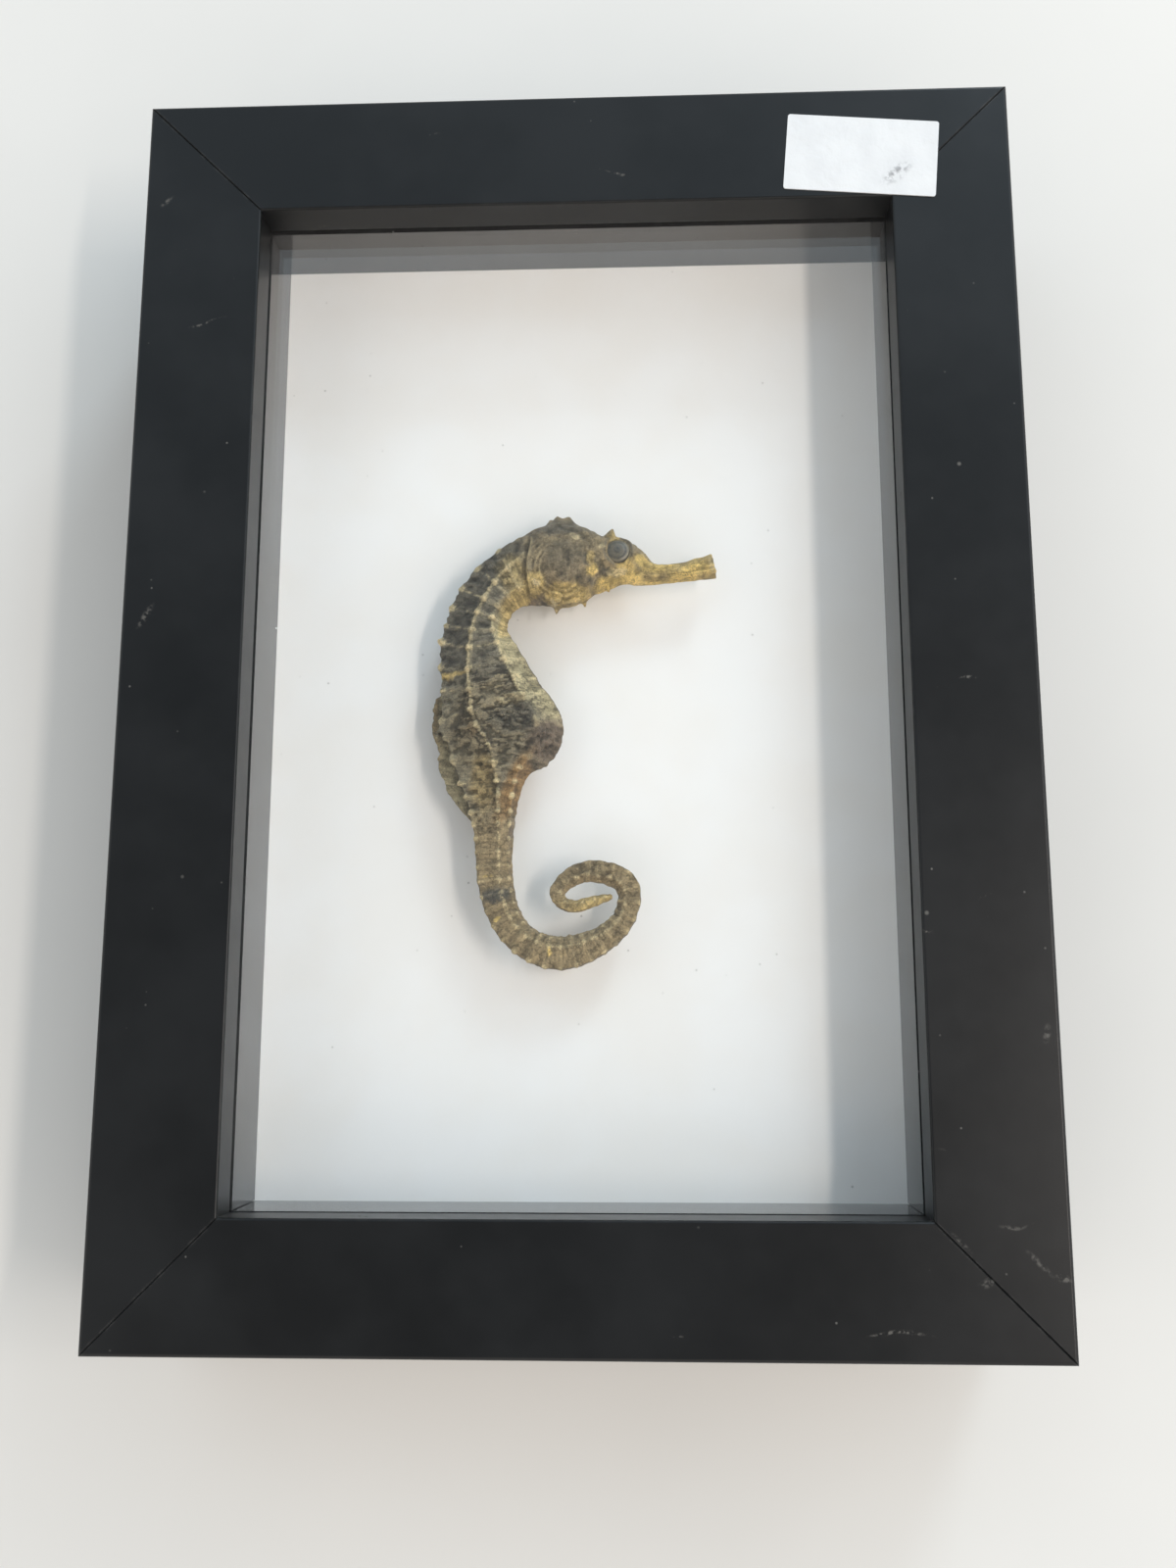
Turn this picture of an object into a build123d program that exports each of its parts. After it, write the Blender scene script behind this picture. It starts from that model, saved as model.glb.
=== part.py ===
from build123d import *
import os
from bisect import bisect_right
from itertools import accumulate
from math import dist, sqrt

# Specimen display frame: a deep mitred frame with a dried seahorse on a white card behind glass.
# It lies on its back. The origin is the centre of the rear face, +Z comes out of the glass,
# +Y points to the top of the picture and +X to the right. All sizes are in millimetres.

# Insert: the picture format that the glass, card, filler and back panel share
insert_width = 101.6
insert_height = 152.4
insert_clearance = 0.4

# Moulding section, from the outer face inwards
rim_wall = 5.0
ledge_width = 7.3
rebate_width = 5.0
lip_thickness = 5.5
recess_depth = 6.0
outer_arris = 0.5
inner_arris = 0.35
mitre_ease = 0.15

# Sheets and spacers that stack up in the rebate
glass_thickness = 2.0
glass_seam = 0.3
card_thickness = 1.2
filler_thickness = 9.2
panel_thickness = 3.0
spacer_end_gap = 0.1

# Corner V-nails, driven in from the ledge
v_nail_margin = 1.15
v_nail_gauge = 0.6
v_nail_height = 9.0

# Turn buttons and their screws
button_inset = 46.0
button_gauge = 1.0
button_rim_gap = 0.45
button_tip_radius = 2.2
button_reach = 11.0
button_bead_width = 2.0
button_bead_gap = 0.4
button_bead_rise = 0.6
button_ledge_gap = 0.15
button_turn_gap = 0.06
screw_shank_radius = 1.2
screw_length = 11.0
screw_point = 2.0
screw_head_radius = 2.7
screw_head_height = 1.5
screw_head_bevel = 0.8
screw_head_gap = 0.1
screw_pilot_gap = 0.02

# Sawtooth hanger and its rivets
hanger_drop = 14.0
hanger_length = 36.0
hanger_height = 9.0
hanger_gauge = 0.9
hanger_tab = 7.0
hanger_slope = 1.5
hanger_standoff = 1.6
tooth_pitch = 2.4
tooth_depth = 1.4
rivet_shank_radius = 1.1
rivet_head_radius = 2.0
rivet_head_height = 0.7
rivet_head_bevel = 0.5
rivet_gap = 0.02

# Price label, placed from the upper right corner of the face
label_width = 22.0
label_height = 12.0
label_thickness = 0.15
label_from_right = 21.5
label_from_top = 10.8
label_turn = -4.8
label_corner = 0.4

# Seahorse: its height over the card and under the glass, and the rings of its bony skin
specimen_lift = 0.6
specimen_head_room = 1.3
tail_lift = 0.5
trunk_rings = 14
tail_rings = 33
tail_ring_taper = 0.8
ring_groove = 0.93

# Spine of the seahorse, tail tip to snout end: x, y, half depth and half thickness
tail_stations = [
    (4.9, -28.9, 0.45, 0.40),
    (2.2, -29.7, 0.90, 0.80),
    (-1.2, -30.2, 1.00, 1.00),
    (-2.8, -28.8, 1.15, 1.10),
    (-1.1, -26.2, 1.50, 1.30),
    (3.3, -25.3, 1.75, 1.50),
    (7.2, -27.2, 1.85, 1.60),
    (7.0, -31.6, 1.80, 1.70),
    (2.9, -35.4, 2.10, 1.90),
    (-3.0, -36.8, 2.50, 2.10),
    (-8.4, -34.5, 2.40, 2.30),
    (-11.4, -28.8, 2.65, 2.50),
    (-12.1, -20.8, 2.95, 2.80),
]
trunk_stations = [
    (-12.2, -17.6, 3.30, 3.10),
    (-12.3, -14.5, 4.25, 3.50),
    (-12.5, -11.1, 6.30, 4.00),
    (-11.6, -7.0, 8.90, 4.50),
    (-11.3, -4.0, 9.20, 4.60),
    (-12.2, 2.0, 7.60, 4.50),
    (-14.2, 9.0, 5.40, 3.80),
    (-14.8, 11.1, 4.60, 3.60),
    (-14.1, 13.6, 4.30, 3.40),
    (-11.4, 17.4, 4.40, 3.30),
]
head_stations = [
    (-6.0, 19.9, 5.70, 3.80),
    (-2.6, 20.6, 6.40, 4.00),
    (1.0, 20.8, 5.50, 3.70),
    (3.8, 20.8, 4.20, 3.20),
    (7.4, 20.5, 3.20, 2.40),
    (10.4, 19.2, 1.90, 1.60),
    (14.8, 19.2, 1.40, 1.20),
    (18.1, 19.7, 1.65, 1.35),
    (20.5, 20.2, 1.95, 1.60),
]
# Ridges on the upper half of a body section: shares of the half depth, back to belly, and thickness
body_ridges = [(0.95, 0.42), (0.35, 0.95), (-0.55, 0.90)]
belly_keel = -1.0

# Eyes, spines and crown of the head, and the dorsal fin
eye_place = (5.9, 22.9)
eye_radius = 1.9
eye_lens_radius = 1.2
eye_half_span = 3.0
eye_facets = 12
spine_tip_radius = 0.12
spine_facets = 6
head_spines = [  # foot, tip, foot radius, distance of each of the pair from the middle
    ((4.4, 24.0), (5.3, 26.5), 0.9, 1.2),
    ((0.7, 16.6), (1.2, 14.6), 0.8, 1.4),
    ((-3.0, 15.8), (-3.3, 13.6), 0.9, 1.5),
]
crown_foot = (-2.6, 25.6)
crown_top = (-2.9, 28.1)
crown_foot_radius = 2.2
crown_top_radius = 1.5
crown_points = 5
fin_edge = [(-19.0, 0.4), (-21.2, -2.6), (-20.6, -7.0), (-18.4, -14.4), (-15.8, -17.8)]
fin_root_x = -14.5
fin_thickness = 0.6
glue_places = [(-11.5, -6.0), (-12.6, 4.0), (-2.3, 20.6)]
glue_radius = 2.6
glue_facets = 12
glue_bite = 2.4

# Sizes that follow from the ones above
wall = rim_wall + ledge_width
face_width = wall + rebate_width
frame_width = insert_width + 2 * (insert_clearance + wall)
frame_height = insert_height + 2 * (insert_clearance + wall)
stations = tail_stations + trunk_stations + head_stations
belly_half_thickness = max(station[3] for station in stations)
spacer_height = specimen_lift + 2 * belly_half_thickness + specimen_head_room
spacer_thickness = rebate_width - insert_clearance
v_nail_leg = ledge_width - 2 * v_nail_margin
button_half_width = ledge_width / 2 - button_rim_gap
glue_height = specimen_lift + glue_bite

filler_back = recess_depth + panel_thickness
card_back = filler_back + filler_thickness
card_front = card_back + card_thickness
glass_back = card_front + spacer_height
lip_back = glass_back + glass_thickness
frame_depth = lip_back + lip_thickness

button_x = frame_width / 2 - rim_wall - ledge_width / 2
button_y = frame_height / 2 - button_inset
button_front = recess_depth - button_ledge_gap
screw_seat = button_front - button_gauge - screw_head_gap
hanger_y = insert_height / 2 - hanger_drop
rivet_x = (hanger_length - hanger_tab) / 2
CORNERS = [(1, 1), (-1, 1), (-1, -1), (1, -1)]
UPWARD = (Align.CENTER, Align.CENTER, Align.MIN)


def v_nail(side, end):
    """Steel angle across one mitre, flush with the ledge, its legs along the two rails."""
    inset = rim_wall + v_nail_margin
    near = inset + v_nail_gauge / 2
    middle = inset + v_nail_leg / 2
    along_x = Pos(side * (frame_width / 2 - middle), end * (frame_height / 2 - near), recess_depth)
    along_y = Pos(side * (frame_width / 2 - near), end * (frame_height / 2 - middle), recess_depth)
    first = along_x * Box(v_nail_leg, v_nail_gauge, v_nail_height, align=UPWARD)
    return first + along_y * Box(v_nail_gauge, v_nail_leg, v_nail_height, align=UPWARD)


def mitre_groove(side, end):
    """Cutter that eases the two arrises of one mitre on the front face."""
    edge = mitre_ease * sqrt(2)
    middle = (side * (frame_width - face_width) / 2, end * (frame_height - face_width) / 2, frame_depth)
    return Pos(*middle) * Rot(0, 0, 45 * side * end) * Rot(45, 0, 0) * Box(2 * face_width, edge, edge)


def moulding_section():
    """Section of the rails: outer face at x = 0, rear rim at y = 0, lip at the upper right."""
    outline = Polyline(
        (0, 0),
        (rim_wall, 0),
        (rim_wall, recess_depth),
        (wall, recess_depth),
        (wall, lip_back),
        (face_width, lip_back),
        (face_width, frame_depth),
        (0, frame_depth),
        close=True,
    )
    section = make_face(outline)
    section = fillet(section.vertices().group_by(Axis.X)[0], outer_arris)
    return fillet(section.vertices().group_by(Axis.Y)[-1].sort_by(Axis.X)[-1], inner_arris)


def rail(length, half_span, turn):
    """One side of the frame: made as the lower side, mitred, then turned into its place."""
    plane = Plane(origin=(0, -half_span, 0), x_dir=(0, 1, 0), z_dir=(1, 0, 0))
    bar = extrude(plane * moulding_section(), length / 2, both=True)
    long_edge, short_edge = length / 2, length / 2 - face_width
    plan = Polyline(
        (-long_edge, -half_span),
        (long_edge, -half_span),
        (short_edge, face_width - half_span),
        (-short_edge, face_width - half_span),
        close=True,
    )
    mitred = bar & extrude(make_face(plan), frame_depth)
    return Rot(0, 0, turn) * mitred


def sheet(thickness, back):
    """Flat sheet of the insert's format with its rear face at the given height."""
    return Pos(0, 0, back) * Box(insert_width, insert_height, thickness, align=UPWARD)


def glass_pane():
    """Pane with seamed edges."""
    pane = sheet(glass_thickness, glass_back)
    return chamfer(pane.edges(), glass_seam)


def cross_spacer(end):
    """Spacer strip along the top (end = 1) or bottom (end = -1), over the insert's full width."""
    strip = Box(insert_width, spacer_thickness, spacer_height, align=UPWARD)
    return Pos(0, end * (insert_height - spacer_thickness) / 2, card_front) * strip


def side_spacer(side):
    """Spacer strip along one side, between the cross spacers."""
    length = insert_height - 2 * (spacer_thickness + spacer_end_gap)
    strip = Box(spacer_thickness, length, spacer_height, align=UPWARD)
    return Pos(side * (insert_width - spacer_thickness) / 2, 0, card_front) * strip


def turn_button(side, end):
    """Stamped button with a raised bead, its tongue over the back panel."""
    tip = Pos(button_reach - button_tip_radius, 0) * Circle(button_tip_radius)
    outline = make_hull(Circle(button_half_width).edges() + tip.edges())
    outline -= Circle(screw_shank_radius + button_turn_gap)
    plate = extrude(outline, -button_gauge)
    bead_start = screw_head_radius + button_bead_gap
    bead_end = button_reach - button_tip_radius
    bead = Pos((bead_start + bead_end) / 2, 0, -button_gauge) * extrude(
        Rectangle(bead_end - bead_start, button_bead_width), -button_bead_rise
    )
    bead = chamfer(bead.faces().sort_by(Axis.Z)[0].edges(), button_bead_rise / 2)
    place = Pos(side * button_x, end * button_y, button_front)
    return place * Rot(0, 0, 180 if side > 0 else 0) * (plate + bead)


def button_screw(side, end):
    """Wood screw with a sloping head, which a turn button swivels on."""
    profile = Polyline(
        (0, -screw_head_height),
        (screw_head_radius - screw_head_bevel, -screw_head_height),
        (screw_head_radius, 0),
        (screw_shank_radius, 0),
        (screw_shank_radius, screw_length - screw_point),
        (0, screw_length),
        close=True,
    )
    screw = revolve(Plane.XZ * make_face(profile), Axis.Z)
    return Pos(side * button_x, end * button_y, screw_seat) * screw


def screw_pilot(side, end):
    """Cutter for the hole that a screw sits in."""
    radius = screw_shank_radius + screw_pilot_gap
    return Pos(side * button_x, end * button_y, screw_seat) * Cylinder(radius, screw_length, align=UPWARD)


def sawtooth_hanger():
    """Hanger strip: flat end tabs, a middle that stands off the panel, teeth on its lower edge."""
    half = hanger_length / 2
    bend = half - hanger_tab
    crest = bend - hanger_slope
    right = [(crest, -hanger_standoff), (bend, 0), (half, 0)]
    front = [(-x, z) for x, z in reversed(right)] + right
    rear = [(x, z - hanger_gauge) for x, z in reversed(front)]
    profile = make_face(Polyline(*front, *rear, close=True))
    strip = extrude(Plane.XZ * profile, hanger_height / 2, both=True)
    notch = make_face(Polyline((-tooth_pitch / 2, 0), (tooth_pitch / 2, 0), (0, tooth_depth), close=True))
    cutter = extrude(notch, hanger_standoff + hanger_gauge, both=True)
    teeth = int(2 * crest / tooth_pitch)
    row = GridLocations(tooth_pitch, 1, teeth, 1)
    strip -= [Pos(0, -hanger_height / 2) * spot * cutter for spot in row]
    for side in (1, -1):
        strip -= Pos(side * rivet_x, 0) * Cylinder(rivet_shank_radius + rivet_gap, 3 * hanger_gauge)
    return Pos(0, hanger_y, recess_depth) * strip


def hanger_rivet(side):
    """Cone-headed rivet through a hanger tab, flush with the front of the back panel."""
    head = Cone(rivet_head_radius - rivet_head_bevel, rivet_head_radius, rivet_head_height, align=UPWARD)
    shank = Pos(0, 0, rivet_head_height) * Cylinder(
        rivet_shank_radius, hanger_gauge + panel_thickness, align=UPWARD
    )
    seat = recess_depth - hanger_gauge - rivet_head_height
    return Pos(side * rivet_x, hanger_y, seat) * (head + shank)


def back_panel():
    """Rear board with the rivet holes of its hanger."""
    panel = sheet(panel_thickness, recess_depth)
    hole = Cylinder(rivet_shank_radius + rivet_gap, panel_thickness, align=UPWARD)
    return panel - [Pos(side * rivet_x, hanger_y, recess_depth) * hole for side in (1, -1)]


def price_label():
    """Blank paper label across the upper right mitre."""
    paper = extrude(RectangleRounded(label_width, label_height, label_corner), label_thickness)
    x, y = frame_width / 2 - label_from_right, frame_height / 2 - label_from_top
    return Pos(x, y, frame_depth) * Rot(0, 0, label_turn) * paper


def frustum(foot, top, foot_radius, top_radius, sides):
    """Faceted cone stump between two points."""
    axis = Vector(*top) - Vector(*foot)
    lower = Plane(foot, z_dir=axis) * RegularPolygon(foot_radius, sides)
    upper = Plane(top, z_dir=axis) * RegularPolygon(top_radius, sides)
    return loft([lower, upper], ruled=True)


class Seahorse:
    """Dried seahorse: a ringed body lofted along its spine, with eyes, spines, crown and fin."""

    def __init__(self):
        self.spine = Spline(*[(x, y) for x, y, _, _ in stations])
        steps = [dist(a[:2], b[:2]) for a, b in zip(stations, stations[1:])]
        total = sum(steps)
        self.marks = [0.0] + [run / total for run in accumulate(steps)]
        self.middle = card_front + specimen_lift + belly_half_thickness

    def girth(self, mark, column):
        """Half depth (column 2) or half thickness (column 3) at a mark along the spine."""
        at = min(bisect_right(self.marks, mark), len(stations) - 1)
        share = (mark - self.marks[at - 1]) / (self.marks[at] - self.marks[at - 1])
        return stations[at - 1][column] * (1 - share) + stations[at][column] * share

    def section(self, mark, scale=1.0):
        """Seven-sided section across the spine, with its first and last corners on the back."""
        depth = self.girth(mark, 2) * scale
        thickness = self.girth(mark, 3) * scale
        lift = tail_lift * max(0.0, 1 - mark / self.marks[len(tail_stations)])
        along = self.spine.tangent_at(mark)
        centre = self.spine.position_at(mark) + (0, 0, self.middle + lift)
        plane = Plane(centre, x_dir=(-along.Y, along.X, 0), z_dir=along)
        upper = [(back * depth, up * thickness) for back, up in body_ridges]
        lower = [(back, -up) for back, up in reversed(upper)]
        return plane * make_face(Polyline(*upper, (belly_keel * depth, 0), *lower, close=True))

    def ring_sections(self, start, end, lengths):
        """Pairs of sections, groove and crest, for rings of the given relative lengths."""
        total = sum(lengths)
        done = 0.0
        sections = []
        for length in lengths:
            sections.append(self.section(start + (end - start) * done / total, ring_groove))
            sections.append(self.section(start + (end - start) * (done + length / 2) / total))
            done += length
        return sections

    def body(self):
        """Tail, trunk, head and snout in one ruled loft."""
        tail_end = self.marks[len(tail_stations)]
        trunk_end = self.marks[len(tail_stations) + len(trunk_stations)]
        growth = (1 - tail_ring_taper) / tail_rings
        tail_lengths = [tail_ring_taper + growth * ring for ring in range(tail_rings)]
        sections = self.ring_sections(0.0, tail_end, tail_lengths)
        sections += self.ring_sections(tail_end, trunk_end, [1.0] * trunk_rings)
        sections += [self.section(mark) for mark in self.marks if mark >= trunk_end]
        return loft(sections, ruled=True)

    def head_pieces(self):
        """Eyes, paired spines and the crown."""
        crown = [(*crown_foot, self.middle), (*crown_top, self.middle)]
        pieces = [frustum(*crown, crown_foot_radius, crown_top_radius, crown_points)]
        for side in (1, -1):
            eye = [(*eye_place, self.middle), (*eye_place, self.middle + side * eye_half_span)]
            pieces.append(frustum(*eye, eye_radius, eye_lens_radius, eye_facets))
            for foot, tip, radius, apart in head_spines:
                spine = [(*place, self.middle + side * apart) for place in (foot, tip)]
                pieces.append(frustum(*spine, radius, spine_tip_radius, spine_facets))
        return pieces

    def fin(self):
        """Folded dorsal fin, a thin blade along the back."""
        upper_end, lower_end = fin_edge[0], fin_edge[-1]
        root = Polyline(lower_end, (fin_root_x, lower_end[1]), (fin_root_x, upper_end[1]), upper_end)
        blade = make_face(Spline(*fin_edge) + root)
        return Pos(0, 0, self.middle) * extrude(blade, fin_thickness / 2, both=True)

    def solid(self):
        """The whole animal as one solid."""
        return self.body().fuse(self.fin(), *self.head_pieces())


def glue_dab(x, y, animal):
    """Dab of glue between the card and the underside of the seahorse."""
    return Pos(x, y, card_front) * extrude(RegularPolygon(glue_radius, glue_facets), glue_height) - animal


nails = [v_nail(side, end) for side, end in CORNERS]
grooves = [mitre_groove(side, end) for side, end in CORNERS]
pilots = [screw_pilot(side, end) for side, end in CORNERS]
seahorse = Seahorse().solid()

nodes = {
    "bottom_rail": rail(frame_width, frame_height / 2, 0) - nails - grooves,
    "right_stile": rail(frame_height, frame_width / 2, 90) - nails - grooves - pilots,
    "top_rail": rail(frame_width, frame_height / 2, 180) - nails - grooves,
    "left_stile": rail(frame_height, frame_width / 2, 270) - nails - grooves - pilots,
    "corner_v_nails": Compound(nails),
    "glass_pane": glass_pane(),
    "spacer_top": cross_spacer(1),
    "spacer_bottom": cross_spacer(-1),
    "spacer_left": side_spacer(-1),
    "spacer_right": side_spacer(1),
    "display_card": sheet(card_thickness, card_back),
    "filler_board": sheet(filler_thickness, filler_back),
    "back_panel": back_panel(),
    "turn_button_upper_right": turn_button(1, 1),
    "turn_button_upper_left": turn_button(-1, 1),
    "turn_button_lower_left": turn_button(-1, -1),
    "turn_button_lower_right": turn_button(1, -1),
    "turn_button_screws": Compound([button_screw(side, end) for side, end in CORNERS]),
    "sawtooth_hanger": sawtooth_hanger(),
    "hanger_rivets": Compound([hanger_rivet(side) for side in (1, -1)]),
    "seahorse": seahorse,
    "glue_dabs": Compound([glue_dab(x, y, seahorse) for x, y in glue_places]),
    "price_label": price_label(),
}

os.makedirs("parts", exist_ok=True)
for name, shape in nodes.items():
    export_step(shape, f"parts/{name}.step")
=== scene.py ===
import math

import bmesh
import bpy
import numpy as np
from bpy.props import FloatProperty, FloatVectorProperty, IntProperty, PointerProperty
from mathutils import Matrix, Vector, kdtree


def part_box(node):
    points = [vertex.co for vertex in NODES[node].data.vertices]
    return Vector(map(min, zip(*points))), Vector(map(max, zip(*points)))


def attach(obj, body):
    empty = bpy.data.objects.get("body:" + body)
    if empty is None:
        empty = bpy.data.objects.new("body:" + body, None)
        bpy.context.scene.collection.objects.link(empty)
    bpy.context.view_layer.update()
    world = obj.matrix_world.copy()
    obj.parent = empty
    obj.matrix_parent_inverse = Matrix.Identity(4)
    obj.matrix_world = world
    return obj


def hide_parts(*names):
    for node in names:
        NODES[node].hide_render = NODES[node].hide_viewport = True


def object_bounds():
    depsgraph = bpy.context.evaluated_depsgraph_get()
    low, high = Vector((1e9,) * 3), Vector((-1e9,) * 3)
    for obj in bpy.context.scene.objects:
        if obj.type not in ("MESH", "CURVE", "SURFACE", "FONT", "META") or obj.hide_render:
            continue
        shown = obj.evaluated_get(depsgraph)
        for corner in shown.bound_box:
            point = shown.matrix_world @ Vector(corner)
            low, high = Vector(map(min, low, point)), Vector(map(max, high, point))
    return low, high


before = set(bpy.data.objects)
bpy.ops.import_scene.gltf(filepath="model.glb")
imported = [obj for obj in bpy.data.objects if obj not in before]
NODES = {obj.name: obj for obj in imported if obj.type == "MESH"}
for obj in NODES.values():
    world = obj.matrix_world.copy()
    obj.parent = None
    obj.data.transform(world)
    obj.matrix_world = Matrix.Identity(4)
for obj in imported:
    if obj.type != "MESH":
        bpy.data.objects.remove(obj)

bl_info = {
    "name": "Specimen display frame",
    "version": (1, 0, 0),
    "blender": (4, 5, 0),
    "location": "View3D > Sidebar > Display Frame",
    "description": "Dresses a deep black frame with a dried seahorse on a white card behind glass",
    "category": "Object",
}

MM = 0.001
CAD_LOW, CAD_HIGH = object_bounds()
FIXED = "frame"
NUMBER = "NodeSocketFloat"

RAILS = ("bottom_rail", "right_stile", "top_rail", "left_stile")
SPACERS = ("spacer_top", "spacer_bottom", "spacer_left", "spacer_right")
TURN_BUTTONS = (
    "turn_button_upper_right",
    "turn_button_upper_left",
    "turn_button_lower_left",
    "turn_button_lower_right",
)
# Rubbed places on the face: x, y, turn, narrowing and reach, in millimetres and degrees
FACE_RUBS = (
    (-60.1, 9.6, 60, 0.25, 2.6),
    (59.2, -76.6, -45, 0.18, 2.8),
    (52.6, -79.0, 20, 0.5, 1.5),
    (49.6, -74.2, -45, 0.15, 2.2),
    (61.7, -48.0, 80, 0.4, 1.6),
    (-60.3, 73.3, 40, 0.3, 1.6),
)
CARD_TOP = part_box("display_card")[1].z
FACE_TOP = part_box("top_rail")[1].z

# Spine of the seahorse in millimetres, tail tip to snout end: x, y, half depth and half thickness
STATIONS = np.array([
    (4.9, -28.9, 0.45, 0.40),
    (2.2, -29.7, 0.90, 0.80),
    (-1.2, -30.2, 1.00, 1.00),
    (-2.8, -28.8, 1.15, 1.10),
    (-1.1, -26.2, 1.50, 1.30),
    (3.3, -25.3, 1.75, 1.50),
    (7.2, -27.2, 1.85, 1.60),
    (7.0, -31.6, 1.80, 1.70),
    (2.9, -35.5, 2.20, 1.90),
    (-3.0, -37.0, 2.60, 2.10),
    (-8.4, -34.5, 2.40, 2.30),
    (-11.4, -28.8, 2.65, 2.50),
    (-12.1, -20.8, 2.95, 2.80),
    (-12.2, -17.6, 3.30, 3.10),
    (-12.3, -14.3, 4.10, 3.50),
    (-12.2, -9.4, 6.50, 4.10),
    (-11.4, -5.2, 9.40, 4.50),
    (-12.0, -1.8, 8.45, 4.60),
    (-13.5, 3.3, 6.70, 4.50),
    (-14.8, 8.5, 5.40, 3.90),
    (-14.8, 11.1, 4.60, 3.60),
    (-14.1, 13.6, 4.30, 3.40),
    (-11.4, 17.4, 4.40, 3.30),
    (-6.0, 19.9, 5.70, 3.80),
    (-2.6, 20.6, 6.40, 4.00),
    (1.0, 20.8, 5.50, 3.70),
    (3.8, 20.8, 4.20, 3.20),
    (7.4, 20.5, 3.20, 2.40),
    (10.4, 19.2, 1.90, 1.60),
    (14.8, 19.2, 1.40, 1.20),
    (18.1, 19.7, 1.65, 1.35),
    (20.5, 20.2, 1.95, 1.60),
])
# Stations where the trunk, the neck's bend, the head and the cheek start
TRUNK_STATION = 13
NECK_STATION = 21
HEAD_STATION = 23
CHEEK_STATION = 24

# Ridges of the bony skin: station, share of the half depth (back is +1, belly is -1), share of thickness
BACK_RIDGE = np.array([(0, 0.80, 0.75), (13, 0.86, 0.62), (16, 0.95, 0.42), (31, 0.95, 0.42)])
SIDE_RIDGE = np.array([
    (0, -0.40, 0.88), (12, -0.34, 0.90), (14, -0.29, 0.92), (15, -0.07, 0.93),
    (16, 0.28, 0.95), (17, 0.38, 0.95), (18, 0.33, 0.95), (19, 0.12, 0.95),
    (20, 0.04, 0.95), (21, 0.0, 0.95), (22, 0.0, 0.95), (31, 0.30, 0.95),
])
BELLY_RIDGE = np.array([
    (0, -0.86, 0.35), (13, -0.80, 0.42), (15, -0.70, 0.70), (17, -0.56, 0.86), (31, -0.52, 0.88),
])
# Corners between facets on the round head, in degrees, and the steps across each facet
ROUND_ANGLES = (25, 65, 125, 180)
FACET_STEPS = (4, 12, 12, 10)

# Knobs of the side ridge, tail root to neck: each marks the crest of a trunk ring
SIDE_KNOBS = (
    (-11.2, -16.8), (-11.1, -14.5), (-11.0, -12.5), (-11.6, -9.9), (-13.2, -7.4),
    (-14.3, -4.7), (-15.2, -2.2), (-15.6, 0.5), (-15.7, 3.7), (-15.5, 7.1),
    (-15.2, 9.8), (-14.6, 12.6), (-13.5, 14.7), (-11.9, 17.0),
)
# Height of the knobs on back line, back ridge, side ridge, belly ridge and keel
TRUNK_KNOBS = np.array([0.0, 0.34, 0.42, 0.26, 0.0])
TAIL_KNOBS = np.array([0.0, 0.13, 0.12, 0.12, 0.0])

# Head: places on the side of the animal, in millimetres
EYE = (6.0, 21.7)
EYE_RADIUS = 1.84
EYE_RISE = 0.3
EYE_TILT = math.radians(8)
# Eye: profile of radius and height, then where each ring's tone starts and is full, and the tone
EYE_PROFILE = (
    (0, 0.42), (0.45, 0.40), (0.62, 0.34), (0.80, 0.36), (1.05, 0.30), (1.15, 0.25), (1.25, 0.26),
    (1.50, 0.16), (1.60, 0.08), (1.72, 0.06), (EYE_RADIUS, -0.20), (EYE_RADIUS, -1.2), (0, -1.2),
)
EYE_RINGS = (
    (0.20, 0.36, (78, 71, 56)),
    (0.55, 0.66, (46, 43, 36)),
    (0.72, 0.86, (102, 92, 70)),
    (0.90, 1.0, (48, 44, 37)),
)
# Gill cover: x, y and its two half lengths. Spines: foot, tip, foot radius, distance from the middle
GILL_COVER = (-2.1, 19.1, 5.2, 5.0)
SPINES = (
    ((4.9, 24.1), (5.3, 25.8), 1.05, 1.3),
    ((0.7, 16.6), (1.15, 14.45), 0.80, 1.5),
    ((-3.0, 15.6), (-3.2, 13.5), 0.95, 1.7),
    ((9.2, 20.8), (10.2, 22.1), 0.80, 0.5),
    ((4.5, 17.4), (4.7, 16.5), 0.60, 0.7),
)
CROWN_FOOT = (-2.3, 25.4)
CROWN_TOP = (-2.5, 27.8)
CROWN_POINTS = 5
CROWN_RADIUS = 3.2
CROWN_TAPER = 1.7
CROWN_FLATNESS = 0.78
SPINE_TIP = 0.12
FIN_EDGE = np.array([
    (-19.4, 1.8), (-21.1, -1.6), (-20.7, -6.9), (-19.6, -11.3), (-18.3, -14.8), (-15.6, -18.0),
])
FIN_ROOT_X = -14.5
FIN_HALF_ROOT = 0.42
FIN_HALF_EDGE = 0.20
FIN_RAYS = 22
FIN_RIB = 0.05

# Zones of the skin: place, half lengths and turn, or spans of x and y over which they start and end
CRACK_ZONE = ((-10.5, -2.0), (6.0, 7.0))
FOLD_ZONE = ((-6.6, -7.0), (2.8, 1.7), 20)
WORN_KNOBS = ((-12.0, -5.0), (10.0, 6.0))
LEAN_START_Y, LEAN_END_Y = (-4, 1), (13, 9)
BELLY_START_Y, BELLY_END_Y = (-6.5, -2.5), (14.0, 9.5)
CREASE_START_Y, CREASE_END_Y = (15.2, 16.2), (24.4, 23.4)
CREASE_X = -7.3
NAPE_Y = (10.5, 15.0)
SNOUT_X = (8.5, 10.5)

GLUE_PLACES = ((-11.5, -6.0), (-12.6, 4.0), (-2.3, 20.6))
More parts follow.
